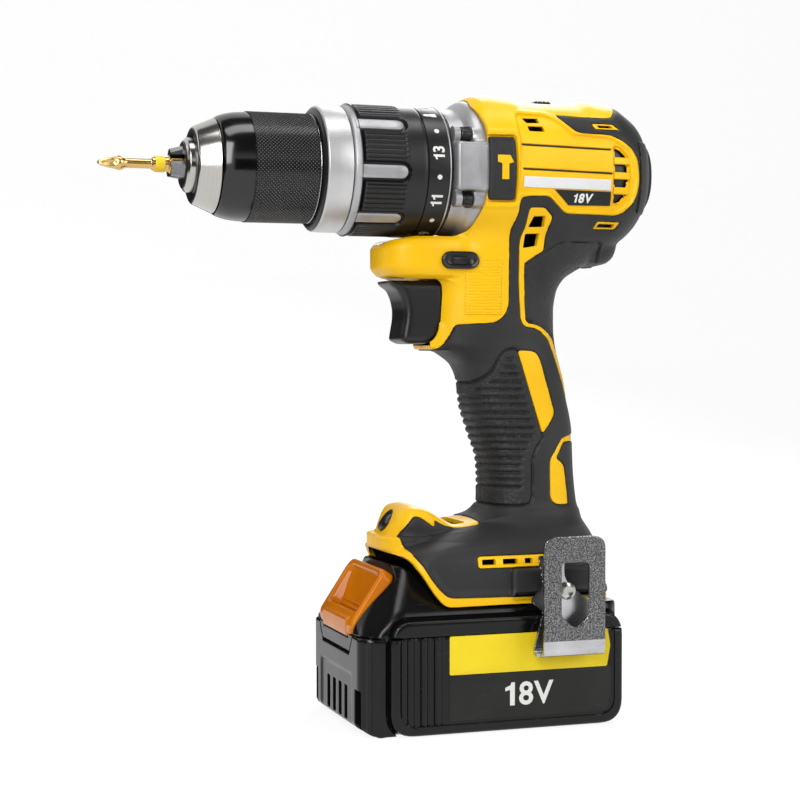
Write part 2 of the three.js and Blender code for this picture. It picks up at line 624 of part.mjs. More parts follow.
// badges: thin plates on the barrel's flanks
const BADGE_THICK = 0.8;
const BADGE = [0.4, 10.4]; // along the barrel
const BADGE_SIDE = 10.6; // nearer the middle plane than any badge
const badgeRing = cut(
  alongX(BARREL, BARREL_POWER, -GAP - BADGE_THICK, 0), alongX(BARREL, BARREL_POWER, -GAP, -FAR / 60));
for (const [side, y0, y1] of [['left', -FAR, -BADGE_SIDE], ['right', BADGE_SIDE, FAR]]) {
  const patch = box(...BADGE, y0, y1, lift(197.8), lift(221.6));
  piece(drill, `badge_${side}`, main(common(badgeRing, patch)), BLACK);
}

// rear cover with the seat of the rear bearing
const TAIL = barrel([
  [HOUSING_END + GAP, 1.4, 5, 3.6], [HOUSING_END + 5, 3.4, 8.2, 6],
  [HOUSING_END + 9.6, 8.4, 12.8, 10.6], [HOUSING_END + 12.6, 15.6, 17.2, 15.6],
  [TAIL_END, 22, 21.6, 20.6],
]);
const tailShell = cut(
  alongX(TAIL, BARREL_POWER), alongX(TAIL, BARREL_POWER, WALL, -1));
piece(drill, 'rear_cover', main(cut(
  join(tailShell, axial(BEARING_R + BEARING_SEAT, BEARING_FRONT - GAP, TAIL_END - 1.5)),
  axial(BEARING_R + GAP, HOUSING_END - 1, BEARING_BACK + GAP))), BLACK);

// ---------------------------------------------------------------- belt hook
const BEND_R = HOOK_DEPTH / 2;
const BEND_STEPS = 6;
const bendAxis = [-(HOOK_FRONT + HOOK_BACK) / 2, HOOK_BOTTOM + BEND_R];
const bend = (r) => Array.from({ length: BEND_STEPS + 1 }, (_, i) => {
  const t = Math.PI * i / BEND_STEPS;
  return [bendAxis[0] + r * Math.cos(t), bendAxis[1] - r * Math.sin(t)];
});
const hookProfile = [
  [-HOOK_BACK, HOOK_ROOT], ...bend(BEND_R), [-HOOK_FRONT, HOOK_TOP],
  [-HOOK_FRONT + HOOK_SHEET, HOOK_TOP], ...bend(BEND_R - HOOK_SHEET).reverse(),
  [-HOOK_BACK - HOOK_SHEET, HOOK_ROOT],
];
// a slot with a rounded top and a pointed bottom, as offsets from HOOK_X
const SLOT = lifted([
  [-HOOK_SLOT_HALF, 43], [0, 39.2], [HOOK_SLOT_HALF, 43], [HOOK_SLOT_HALF, 59.4],
  [HOOK_SLOT_HALF - 2, 62.8], [0, 64], [-HOOK_SLOT_HALF + 2, 62.8], [-HOOK_SLOT_HALF, 59.4],
]);
const hookSlot = slab(SLOT, -FAR, -HOOK_FRONT + HOOK_SHEET + 1).translate(HOOK_X, 0, 0);
const hookCorners = [[HOOK_LEFT, 1], [HOOK_RIGHT, -1]].map(([x, side]) => slab([
  [x, HOOK_TOP - HOOK_CORNER], [x + side * HOOK_CORNER, HOOK_TOP], [x, HOOK_TOP + HOOK_CORNER],
  [x - side * HOOK_CORNER, HOOK_TOP],
], -FAR, -HOOK_BACK - HOOK_SHEET - 1));
piece(drill, 'belt_hook', main(cut(
  bar(hookProfile, HOOK_LEFT, HOOK_RIGHT), hookSlot, hookScrewHole, ...hookCorners)), STEEL);
const hookFace = -HOOK_BACK - HOOK_SHEET; // the inner leg's outer face
piece(drill, 'hook_screw', join(
  rod(SCREW_HEAD_R, hookScrewAt(hookFace - GAP - SCREW_HEAD), hookScrewAt(hookFace - GAP),
    SMALL_ROUND),
  rod(SCREW_R, hookScrewAt(hookFace - 1), hookScrewAt(-SCREW_TIP), HOLE_ROUND)), DARK_STEEL);

// ---------------------------------------------------------------- gearcase
const LUG_R = 4;
const LUG_CENTRE_R = GEARCASE_R + 0.4;
const LUG_ANGLE = THREE.MathUtils.degToRad(29);
const lugs = [-1, 1].flatMap((side) => [-1, 1].map((rise) => {
  const y = side * LUG_CENTRE_R * Math.cos(LUG_ANGLE);
  const z = AXIS_Z + rise * LUG_CENTRE_R * Math.sin(LUG_ANGLE);
  return rod(LUG_R, [CASE_FRONT + GAP, y, z], [FLARE_END, y, z], HOLE_ROUND);
}));
const PAD_HALF = BARREL_HALF - 1.4;
const PAD_RISE = 9;
const pads = box(
  CASE_FRONT + GAP, FLARE_END - 0.5, -PAD_HALF, PAD_HALF, AXIS_Z - PAD_RISE, AXIS_Z + PAD_RISE);
const gearcaseBody = join(
  axial(NOSE_R, COLLAR_FRONT + 2, CASE_FRONT + 3), axial(GEARCASE_R, CASE_FRONT, CASE_BACK - 6),
  alongX(FLARE, BARREL_POWER), axial(MOTOR_BAY_R - GAP, FLARE_END - 1, PLUG_END), ...lugs, pads);
piece(drill, 'gearcase', main(cut(
  gearcaseBody, axial(BUSH_R, -FAR, 0), axial(RING_GEAR_R + GAP, STAGE_TWO - GAP, FAR))), CAST);

// ---------------------------------------------------------------- gears
/** Toothed outline: tip outside for a gear, inside for a ring gear. */
function toothed(teeth, tipR, rootR, phase = 0) {
  const outline = [];
  for (let i = 0; i < teeth; i += 1) {
    const middle = phase + 2 * Math.PI * i / teeth;
    const corners = [
      [rootR, -TOOTH_ROOT], [tipR, -TOOTH_TIP], [tipR, TOOTH_TIP], [rootR, TOOTH_ROOT]];
    corners.forEach(([r, width]) => {
      const t = middle + width / 2 / r;
      outline.push(new THREE.Vector2(r * Math.cos(t), r * Math.sin(t)));
    });
  }
  return outline;
}

const disc = (r, segments = ROUND) => Array.from({ length: segments }, (_, i) => {
  const t = 2 * Math.PI * i / segments;
  return new THREE.Vector2(r * Math.cos(t), r * Math.sin(t));
});

/** Outline in the YZ plane with holes, from x = 0 to width, about the X axis. */
function wheel(outline, width, ...holes) {
  const shape = new THREE.Shape(outline);
  holes.forEach((hole) => shape.holes.push(new THREE.Path(hole.reverse())));
  const geometry = new THREE.ExtrudeGeometry(shape, { depth: width, bevelEnabled: false });
  return solid(geometry.applyMatrix4(STAND));
}

const bore = (r) => disc(r, HOLE_ROUND);
const gearOutline = (teeth, phase) =>
  toothed(teeth, pitchR(teeth) + ADDENDUM, pitchR(teeth) - DEDENDUM, phase);
const orbit = (i) => Math.PI / 2 + 2 * Math.PI * i / PLANETS;

/** Disc with three pins on its rear face, from x = 0. */
function carrier(...holes) {
  const pins = Array.from({ length: PLANETS }, (_, i) => {
    const [y, z] = [ORBIT_R * Math.cos(orbit(i)), ORBIT_R * Math.sin(orbit(i))];
    return rod(PIN_R, [DISC - 1, y, z], [DISC + GAP + GEAR_WIDTH, y, z], HOLE_ROUND);
  });
  return join(wheel(disc(ORBIT_R + CARRIER_RIM), DISC, ...holes), ...pins);
}

/** Hangs one planetary stage: ring gear and three planets behind a carrier at x. */
function planetStage(number, x) {
  const front = x + DISC + GAP;
  const ringTeeth = toothed(
    RING_TEETH, pitchR(RING_TEETH) - ADDENDUM, pitchR(RING_TEETH) + DEDENDUM,
    Math.PI / 2 + Math.PI / RING_TEETH);
  const ring = piece(driveLine, `ring_gear_${number}`,
    wheel(disc(RING_GEAR_R), GEAR_WIDTH, ringTeeth), DARK_STEEL);
  ring.position.x = front;
  for (let i = 0; i < PLANETS; i += 1) {
    // an odd-toothed planet shows the sun a gap and the ring gear a tooth
    const planet = piece(driveLine, `planet_${number}_${i + 1}`,
      wheel(gearOutline(PLANET_TEETH, orbit(i)), GEAR_WIDTH - GAP, bore(PIN_R + GAP)), STEEL);
    planet.position.set(front, ORBIT_R * Math.cos(orbit(i)), ORBIT_R * Math.sin(orbit(i)));
  }
}

const sunOutline = () => gearOutline(SUN_TEETH, Math.PI / 2);
const sunTwo = wheel(sunOutline(), GEAR_WIDTH + 0.5).translate(-GEAR_WIDTH, 0, 0);
const output = piece(driveLine, 'carrier_output', carrier(bore(SPINDLE_END_R + GAP)), DARK_STEEL);
output.position.x = STAGE_TWO;
const input = piece(driveLine, 'carrier_input', join(carrier(), sunTwo), DARK_STEEL);
input.position.x = STAGE_ONE;
planetStage(2, STAGE_TWO);
planetStage(1, STAGE_ONE);
const pinion = piece(driveLine, 'motor_pinion',
  wheel(sunOutline(), GEAR_WIDTH + 2, bore(SHAFT_R + GAP)), STEEL);
pinion.position.x = PINION_FRONT;

// ---------------------------------------------------------------- motor
const STATOR_BACK = STATOR_FRONT + STATOR_LENGTH;
piece(driveLine, 'motor_stator', turned([
  [STATOR_FRONT, ROTOR_R + AIR_GAP], [STATOR_FRONT, STATOR_R], [STATOR_BACK, STATOR_R],
  [STATOR_BACK, ROTOR_R + AIR_GAP],
]), COPPER);
const SHAFT_FRONT = PINION_FRONT + 0.5;
const SHAFT_BACK = BEARING_BACK - 0.5;
piece(driveLine, 'motor_rotor', turned([
  [SHAFT_FRONT, 0], [SHAFT_FRONT, SHAFT_R], [STATOR_FRONT + ROTOR_INSET, SHAFT_R],
  [STATOR_FRONT + ROTOR_INSET, ROTOR_R], [STATOR_BACK - ROTOR_INSET, ROTOR_R],
  [STATOR_BACK - ROTOR_INSET, SHAFT_R], [SHAFT_BACK, SHAFT_R], [SHAFT_BACK, 0],
], SMALL_ROUND), DARK_STEEL);
const BLADE_LENGTH = FAN_R - FAN_HUB_R + 1;
const blades = Array.from({ length: BLADES }, (_, i) => {
  const blade = new THREE.BoxGeometry(FAN_WIDTH, BLADE_THICK, BLADE_LENGTH);
  blade.translate(FAN_WIDTH / 2, 0, FAN_R - 0.5 - BLADE_LENGTH / 2);
  return solid(blade.rotateX(2 * Math.PI * i / BLADES));
});
const fan = piece(driveLine, 'cooling_fan', join(
  wheel(disc(FAN_R), FAN_DISC, bore(SHAFT_R + GAP)),
  wheel(disc(FAN_HUB_R), FAN_WIDTH, bore(SHAFT_R + GAP)), ...blades), BLACK);
fan.position.x = FAN_FRONT;
const bearing = piece(driveLine, 'rear_bearing',
  wheel(disc(BEARING_R), BEARING_WIDTH, bore(SHAFT_R + GAP)), STEEL);
bearing.position.x = BEARING_FRONT;

// ---------------------------------------------------------------- collar
const FINGERS = 8;
const FINGER_END = GRIP_BACK - 7;
const FINGER_WIDTH = 7.4;
const FINGER_ANGLE = THREE.MathUtils.degToRad(-5.7); // of the first, from -Y towards +Z
const fingers = (width, r0, r1, x1) => Array.from({ length: FINGERS }, (_, i) => {
  const x0 = TRIM_BACK - 2;
  const block = new THREE.BoxGeometry(x1 - x0, width, r1 - r0);
  block.translate((x0 + x1) / 2, 0, (r0 + r1) / 2);
  return solid(block.rotateX(Math.PI / 2 - FINGER_ANGLE - 2 * Math.PI * i / FINGERS));
});
const SEAT_R = TRIM_R - TRIM_THICK;
const HOLLOW_R = GRIP_R - COLLAR_WALL;
const RIM = 0.6; // small steps and chamfers
const STEP = 1.2;
piece(driveLine, 'torque_collar', main(cut(turned([
  [COLLAR_FRONT, NOSE_R + GAP], [COLLAR_FRONT, TRIM_R - STEP],
  [COLLAR_FRONT + RIM, TRIM_R - RIM], [TRIM_FRONT - GAP, TRIM_R - RIM], [TRIM_FRONT - GAP, SEAT_R],
  [TRIM_BACK + GAP, SEAT_R], [TRIM_BACK + GAP, GRIP_R - RIM], [TRIM_BACK + STEP, GRIP_R],
  [GRIP_BACK, GRIP_R], [GRIP_BACK, NUMBER_R - RIM], [GRIP_BACK + STEP, NUMBER_R - RIM],
  [GRIP_BACK + STEP, NUMBER_R], [COLLAR_BACK, NUMBER_R], [COLLAR_BACK, HOLLOW_R],
  [TRIM_BACK + TRIM_THICK, HOLLOW_R], [TRIM_BACK + TRIM_THICK, NOSE_R + GAP],
]), ...fingers(FINGER_WIDTH + 2 * GAP, TRIM_R - 0.8, GRIP_R + 5, FINGER_END + GAP))), BLACK);
piece(driveLine, 'trim_ring', main(join(turned([
  [TRIM_FRONT, SEAT_R + GAP], [TRIM_FRONT, TRIM_R - RIM], [TRIM_FRONT + STEP, TRIM_R],
  [TRIM_BACK, TRIM_R], [TRIM_BACK, SEAT_R + GAP],
]), ...fingers(FINGER_WIDTH, TRIM_R - 0.5, GRIP_R - 0.8, FINGER_END))), CAST);

// ---------------------------------------------------------------- chuck
const jawTurn = (i) => 2 * Math.PI * i / JAW_COUNT;
/** Rod along a jaw's tilted axis, for the jaw that points up before its turn. */
function jawRod(r, start, end, i) {
  const geometry = new THREE.CylinderGeometry(r, r, end - start, HOLE_ROUND);
  geometry.rotateZ(-Math.PI / 2).translate((start + end) / 2, 0, 0);
  geometry.rotateY(-JAW_TILT).translate(JAW_TIP, 0, JAW_TIP_R);
  return solid(geometry.rotateX(jawTurn(i)));
}
const eachJaw = (make) => Array.from({ length: JAW_COUNT }, (_, i) => make(i));
const jawBores = eachJaw((i) => jawRod(JAW_R + GAP, -6, JAW_LENGTH + JAW_TRAVEL, i));
const SOCKET_END = SLEEVE_BACK - SOCKET_DEPTH;
const CORE_FRONT = SLEEVE_FRONT + 8;
const BODY_BACK = SLEEVE_BACK - 0.8;
const CONE_SEAT_R = CONE_BORE_R - GAP - 0.1;
const CENTRE_R = 3; // hole between the chuck's bore and the spindle's socket
piece(driveLine, 'chuck_body', main(cut(turned([
  [BODY_FRONT, BORE_R], [BODY_FRONT, BODY_R - RIM], [BODY_FRONT + RIM, BODY_R],
  [CONE_FRONT + RIM, BODY_R], [CONE_FRONT + RIM, CONE_SEAT_R], [CORE_FRONT, CONE_SEAT_R],
  [CORE_FRONT, CORE_R], [BODY_BACK, CORE_R], [BODY_BACK, SPINDLE_R + GAP],
  [SOCKET_END, SPINDLE_R + GAP], [SOCKET_END, CENTRE_R], [SOCKET_END - 3, CENTRE_R],
  [SOCKET_END - 3, BORE_R],
]), ...jawBores)), STEEL);
const GROUND = 20; // depth of the block that grinds a jaw's gripping face
eachJaw((i) => {
  const ground = new THREE.BoxGeometry(3 * JAW_LENGTH, GROUND, GROUND)
    .translate(JAW_TIP, 0, JAW_GRIP - GROUND / 2).rotateX(jawTurn(i));
  const front = new THREE.BoxGeometry(GROUND, 2 * GROUND, 2 * GROUND)
    .translate(JAW_TIP + SLIDE_GAP - GROUND / 2, 0, 0);
  const jaw = cut(jawRod(JAW_R, 0, JAW_LENGTH, i), solid(ground), solid(front));
  piece(driveLine, `chuck_jaw_${i + 1}`, main(jaw), STEEL);
});
piece(driveLine, 'chuck_nose_cone', turned([
  [CONE_FRONT + GAP, CONE_BORE_R], [CONE_FRONT, CONE_R], [SLEEVE_FRONT - GAP, SLEEVE_FRONT_R],
  [SLEEVE_FRONT - GAP, CONE_BORE_R + 0.4],
]), STEEL);
const LIP_R = SLEEVE_BORE_R - 1.3; // the sleeve's front lip
const LIP = 1;
piece(driveLine, 'chuck_sleeve', turned([
  [SLEEVE_FRONT, LIP_R], [SLEEVE_FRONT, SLEEVE_FRONT_R], [SLEEVE_FRONT + 2.6, SLEEVE_R - 1.7],
  [SLEEVE_FRONT + 6.4, SLEEVE_R - 0.7], [KNURL_FRONT - RIM, SLEEVE_R - SLIDE_GAP],
  [KNURL_FRONT, SLEEVE_R], [SLEEVE_BACK - 0.8, SLEEVE_R], [SLEEVE_BACK, SLEEVE_R - 0.8],
  [SLEEVE_BACK, CORE_R + GAP], [SLEEVE_BACK - 6.4, CORE_R + GAP],
  [SLEEVE_BACK - 6.4, SLEEVE_BORE_R], [SLEEVE_FRONT + LIP, SLEEVE_BORE_R],
  [SLEEVE_FRONT + LIP, LIP_R],
]), BLACK);
const NUT_FRONT = SLEEVE_FRONT + 2.2;
const NUT_LENGTH = 5.4;
piece(driveLine, 'chuck_nut', turned([
  [NUT_FRONT, CONE_BORE_R + 0.2], [NUT_FRONT, SLEEVE_BORE_R - GAP],
  [NUT_FRONT + NUT_LENGTH, SLEEVE_BORE_R - GAP], [NUT_FRONT + NUT_LENGTH, CONE_BORE_R + 1.6],
]), DARK_STEEL);
const SPINDLE_FRONT = SOCKET_END + RIM;
const SPINDLE_STEP = SLEEVE_BACK - SLIDE_GAP;
piece(driveLine, 'output_spindle', turned([
  [SPINDLE_FRONT, 0], [SPINDLE_FRONT, SPINDLE_R], [SPINDLE_STEP, SPINDLE_R],
  [SPINDLE_STEP, BUSH_R - GAP], [STAGE_TWO - 1, BUSH_R - GAP], [STAGE_TWO - 1, SPINDLE_END_R],
  [STAGE_TWO + DISC, SPINDLE_END_R], [STAGE_TWO + DISC, 0],
], SMALL_ROUND), DARK_STEEL);

// ---------------------------------------------------------------- bit
const shank = wheel(disc(HEX_FLATS / Math.sqrt(3), 6), BIT_END - HEX_FRONT);
piece(driveLine, 'driver_bit', main(join(shank.translate(HEX_FRONT, 0, 0), turned([
  [BIT_TIP, 0], [BIT_TIP + 0.6, 0.7], [BIT_TIP + 5.6, BIT_HEAD_R], [BIT_TIP + 7.2, BIT_HEAD_R],
  [BIT_TIP + 9.4, BIT_NECK_R], [HEX_FRONT - 1.8, BIT_NECK_R], [HEX_FRONT - 0.4, BIT_COLLAR_R],
  [HEX_FRONT + 1, BIT_COLLAR_R], [HEX_FRONT + 1, 0],
], SMALL_ROUND))), GOLD);
const BAND_BACK = HEX_FRONT - 2.2;
const BAND_LENGTH = 1.5;
piece(driveLine, 'bit_band', turned([
  [BAND_BACK - BAND_LENGTH, BIT_NECK_R + GAP], [BAND_BACK - BAND_LENGTH, BAND_R - 0.4],
  [BAND_BACK - BAND_LENGTH + 0.5, BAND_R], [BAND_BACK, BAND_R], [BAND_BACK, BIT_NECK_R + GAP],
], SMALL_ROUND), YELLOW);

// ---------------------------------------------------------------- controls
const TRIGGER_SIDE = [
  [-33.4, TRIGGER_HIGH], [-31.8, 166.6], [-29.2, 164.6], [-27.6, 161.3], [-26.9, 157.2],
  [-27.1, 153], [-28, 148.4], [-28.4, 146], [-27, TRIGGER_LOW], [-13, TRIGGER_LOW],
  [TRIGGER_BACK, 149], [TRIGGER_BACK, 165], [-12, TRIGGER_HIGH],
];
const TRIGGER_ROUND = 1.2;
piece(drill, 'trigger', slab(
  lifted(TRIGGER_SIDE), -TRIGGER_HALF, TRIGGER_HALF, TRIGGER_ROUND), BLACK);

const BUTTON_ROUND = 0.8;
const [flat, tall] = [BUTTON_LENGTH / 2, BUTTON_HEIGHT / 2];
const corner = 2;
const BUTTON_SIDE = [
  [-flat, -tall + corner], [-flat + corner, -tall], [flat - corner, -tall],
  [flat, -tall + corner], [flat, tall - corner], [flat - corner, tall],
  [-flat + corner, tall], [-flat, tall - corner],
].map(([x, z]) => [BUTTON_X + x, buttonZ + z]);
piece(drill, 'direction_button', slab(
  BUTTON_SIDE, -BUTTON_REACH, BUTTON_REACH, BUTTON_ROUND), BLACK);

const SELECTOR_BACK = SELECTOR_FRONT + SELECTOR_LENGTH;
const SELECTOR_STEP = 1; // the raised middle stands inside the base by this
piece(drill, 'speed_selector', join(
  box(SELECTOR_FRONT, SELECTOR_BACK, -SELECTOR_HALF, SELECTOR_HALF,
    AXIS_Z + MOTOR_BAY_R + SLIDE_GAP, AXIS_Z + SELECTOR_TOP - STEP),
  box(SELECTOR_FRONT + SELECTOR_STEP, SELECTOR_BACK - SELECTOR_STEP,
    -SELECTOR_HALF + SELECTOR_STEP, SELECTOR_HALF - SELECTOR_STEP,
    AXIS_Z + SELECTOR_TOP - SELECTOR_CAP, AXIS_Z + SELECTOR_TOP)), BLACK);

/** Whatever of a body lies inside the handle's hollow, clear of its walls. */
const fitted = (body) => main(common(body, alongZ(HANDLE_HOLLOW, octagon, GAP)));
const SWITCH_FRONT = TRIGGER_BACK + TRIGGER_TRAVEL + 0.6;
piece(drill, 'switch_body', fitted(
  box(SWITCH_FRONT, SWITCH_BACK, -FAR, FAR, lift(148), lift(170))), BLACK);
const MODULE_LOW = RAIL_TOP + 4.6;
const MODULE_THICK = 5.8;
piece(drill, 'control_module', fitted(
  box(-14, 36, -FAR, FAR, MODULE_LOW, MODULE_LOW + MODULE_THICK)), BOARD);
piece(drill, 'lamp_lens', rod(LAMP_R, lampAt(-1), lampAt(STEP), SMALL_ROUND), CLEAR);

// ---------------------------------------------------------------- battery
/** Battery levels [z, how far its ends and its sides lie inside the pack's size]. */
const packLevels = (rows) => rows.map(([z, ends, sides]) =>
  [z, -PACK_HALF_X + ends, PACK_HALF_X - ends, PACK_HALF_Y - sides]);
const caseOuter = alongZ(packLevels([
  [0, 4, 4], [1.6, 1.4, 1.4], [4.6, 0, 0], [CASE_TOP - 1.4, 0, 0], [CASE_TOP, 0.8, 0.8],
]), boxy(CASE_CORNER), 0);
const caseInner = alongZ(packLevels([
  [CASE_WALL, CASE_WALL, CASE_WALL], [CASE_TOP + 1, CASE_WALL, CASE_WALL],
]), boxy(CASE_CORNER - CASE_WALL), 0);
const LATCH_HALF = PACK_HALF_Y - LATCH_MARGIN;
const LATCH_LOW = lift(36.5);
const LATCH_ELBOW = lift(40.6);
const LATCH_HIGH = lift(59.5);
const latchBack = ahead(-52.4 + LATCH_THICK); // its rear face below the elbow
const latchTip = ahead(-36.8); // its rear edge at the top
const pocketGap = LATCH_TRAVEL + LATCH_ROOM;
const latchPocket = slab([
  [-FAR, LATCH_LOW - 0.5], [latchBack + pocketGap, LATCH_LOW - 0.5],
  [latchBack + pocketGap, LATCH_ELBOW + SLIDE_GAP], [latchTip + pocketGap, LATCH_HIGH - 2],
  [latchTip + pocketGap, LATCH_HIGH + 0.5], [-FAR, LATCH_HIGH + 0.5],
], -LATCH_HALF - SLIDE_GAP, LATCH_HALF + SLIDE_GAP);
piece(battery, 'battery_case', main(cut(caseOuter, caseInner, latchPocket)), GLOSS);

const COVER_LOW = CASE_TOP + GAP;
const HUMP_TOP = RAIL_TOP + 3.4;
const HUMP = [
  [COVER_LOW, ahead(-51.5), ahead(-14), PACK_HALF_Y - 3.5],
  [DECK_TOP + 3.7, ahead(-46.8), ahead(-21.9), PACK_HALF_Y - 6.4],
  [HUMP_TOP - 3.8, ahead(-41.2), ahead(-26.9), PACK_HALF_Y - 10],
  [HUMP_TOP, ahead(-38), ahead(-30.6), PACK_HALF_Y - 13.4],
];
const coverDeck = alongZ(packLevels([
  [COVER_LOW, 0.8, 0.8], [DECK_TOP - 1.3, 2, 2], [DECK_TOP, 4, 4],
]), boxy(CASE_CORNER), 0);
const RAIL_FRONT = ahead(-33);
const rail = box(RAIL_FRONT, RAIL_END, -RAIL_HALF, RAIL_HALF, CASE_TOP + 2, RAIL_TOP);
const POCKET_FLOOR = DECK_TOP + POCKET_LOW;
const contactPocket = box(
  RAIL_END - POCKET_DEPTH, RAIL_END + 1, -POCKET_HALF, POCKET_HALF, POCKET_FLOOR,
  RAIL_TOP - POCKET_LID);
const coverHollow = box(
  RAIL_FRONT + 3, RAIL_END - POCKET_DEPTH - 2, -RAIL_HALF + COVER_WALL, RAIL_HALF - COVER_WALL,
  0, RAIL_TOP - WALL);
piece(battery, 'battery_cover', main(cut(
  join(coverDeck, alongZ(HUMP, boxy(7), 0), rail), latchPocket, contactPocket, coverHollow)), GLOSS);

const LATCH_ROUND = 0.8;
piece(battery, 'battery_latch', slab([
  [ahead(-52.4), LATCH_LOW], [ahead(-52.6), LATCH_LOW + 4.7], [ahead(-39.8), LATCH_HIGH],
  [latchTip - 0.4, LATCH_HIGH], [latchTip, LATCH_HIGH - 2.5], [latchBack, LATCH_ELBOW],
  [latchBack, LATCH_LOW],
], -LATCH_HALF, LATCH_HALF, LATCH_ROUND), AMBER);

// four blade slots in the contact block
const BLADE_PITCH = 6;
const BLADE_SLOT = 1.2;
const bladeSlots = [-1.5, -0.5, 0.5, 1.5].map((step) => box(
  RAIL_END - 8, RAIL_END + 2, step * BLADE_PITCH - BLADE_SLOT / 2,
  step * BLADE_PITCH + BLADE_SLOT / 2, POCKET_FLOOR + 1.5, RAIL_TOP));
piece(battery, 'battery_contacts', main(cut(
  box(RAIL_END - POCKET_DEPTH + GAP, RAIL_END - GAP, -POCKET_HALF + GAP, POCKET_HALF - GAP,
    POCKET_FLOOR + GAP, RAIL_TOP - POCKET_LID - GAP),
  ...bladeSlots)), BLACK);
piece(drill, 'terminal_block', box(
  RAIL_END + SLIDE_GAP, RAIL_END + TERMINAL_LENGTH - GAP, -TERMINAL_HALF, TERMINAL_HALF,
  FOOT_BOTTOM + 1.1, RAIL_TOP + RAIL_ROOM - GAP), BLACK);

for (let row = 0; row < CELL_ROWS; row += 1) {
  for (let i = 0; i < CELLS_PER_ROW; i += 1) {
    const can = new THREE.CylinderGeometry(CELL_R, CELL_R, CELL_LENGTH, SMALL_ROUND);
    const cell = piece(battery, `cell_${row * CELLS_PER_ROW + i + 1}`, solid(can), CELL);
    cell.position.set(
      (i - (CELLS_PER_ROW - 1) / 2) * CELL_PITCH, 0,
      CASE_WALL + GAP + CELL_R + row * CELL_PITCH);
  }
}

export default drill;
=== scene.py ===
# %% [markdown]
# # A cordless hammer drill
# The drill stands on its battery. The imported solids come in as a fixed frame, and each visible
# part is then made again as a detailed surface that rides on the body it belongs to.
# All shapes are worked out in millimetres and turned into metres when a mesh is made.

import bpy
import numpy as np
from mathutils import Matrix


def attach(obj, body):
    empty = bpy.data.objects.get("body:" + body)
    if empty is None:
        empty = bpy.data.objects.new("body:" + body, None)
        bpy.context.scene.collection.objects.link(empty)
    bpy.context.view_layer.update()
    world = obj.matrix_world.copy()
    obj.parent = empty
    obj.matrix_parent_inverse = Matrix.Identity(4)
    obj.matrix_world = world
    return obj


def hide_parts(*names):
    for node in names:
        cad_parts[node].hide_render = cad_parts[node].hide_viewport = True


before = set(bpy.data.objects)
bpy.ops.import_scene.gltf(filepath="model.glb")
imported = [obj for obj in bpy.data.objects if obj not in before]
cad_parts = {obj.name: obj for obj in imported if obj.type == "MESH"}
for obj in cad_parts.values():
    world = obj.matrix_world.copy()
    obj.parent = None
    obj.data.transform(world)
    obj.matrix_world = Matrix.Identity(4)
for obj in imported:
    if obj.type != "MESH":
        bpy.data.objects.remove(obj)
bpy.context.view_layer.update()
MM = 0.001

# %% [markdown]
# ## Camera
# The drill is seen from its left side, a little from the front and almost level. A long lens
# keeps the perspective mild. The camera is set by an azimuth, an elevation and a distance from
# a point near the middle of the drill, so each of the three can be changed alone.

# %% Camera
CAMERA_AZIMUTH, CAMERA_ELEVATION = np.radians(-18.66), np.radians(1.70)
CAMERA_DISTANCE = 0.683
CAMERA_TARGET = np.array([-0.026, 0, 0.1227])


def looking(azimuth, elevation):
    """Right, up and back directions of a level camera; back is (sin a cos e, -cos a cos e, sin e)."""
    back = np.array([np.sin(azimuth) * np.cos(elevation), -np.cos(azimuth) * np.cos(elevation),
                     np.sin(elevation)])
    right = np.cross([0, 0, 1], back)
    right /= np.linalg.norm(right)
    return right, np.cross(back, right), back


def aimed(thing, target, distance, azimuth, elevation):
    """Puts a camera or lamp at target + distance * back, looking at the target."""
    right, up, back = looking(azimuth, elevation)
    turn = Matrix(np.stack([right, up, back], 1).tolist()).to_4x4()
    turn.translation = (np.asarray(target) + distance * back).tolist()
    thing.matrix_world = turn


def added(name, data):
    """A new object in the scene."""
    thing = bpy.data.objects.new(name, data)
    scene.collection.objects.link(thing)
    return thing


scene = bpy.context.scene
lens = bpy.data.cameras.new("studio_camera")
lens.lens, lens.sensor_width = 79.97, 36
camera = added("studio_camera", lens)
aimed(camera, CAMERA_TARGET, CAMERA_DISTANCE, CAMERA_AZIMUTH, CAMERA_ELEVATION)
scene.camera = camera
scene.view_settings.view_transform = "Standard"
print("camera at", [round(v, 3) for v in camera.matrix_world.translation])

# %% [markdown]
# ## Studio light
# A product is usually lit by a few large soft boxes against white. Their long reflections are
# what makes steel and gloss black look like themselves, so they are real area lamps. The floor
# and the world answer camera rays with plain white, and the floor still takes a soft shadow.

# %% Lamps
LAMPS_AIM_AT = (-0.02, 0, 0.14)
BOXES = {
    # name: azimuth, elevation (degrees), distance (m), width (m), height (m), watts
    "key_box": (-36, 26, 1.15, 0.34, 0.90, 8.5),
    "fill_box": (38, 24, 1.30, 0.60, 0.80, 5.0),
    "top_box": (10, 82, 1.05, 0.95, 0.35, 5.0),
    "rim_box": (150, 30, 1.25, 0.50, 0.90, 6.0),
    "nose_box": (-118, 14, 1.10, 0.30, 0.80, 1.1),
}
for name, (azimuth, elevation, distance, width, height, watts) in BOXES.items():
    lamp = bpy.data.lights.new(name, "AREA")
    lamp.shape, lamp.size, lamp.size_y, lamp.energy = "RECTANGLE", width, height, watts
    aimed(added(name, lamp), LAMPS_AIM_AT, distance, np.radians(azimuth), np.radians(elevation))
print("lamps:", len(BOXES))


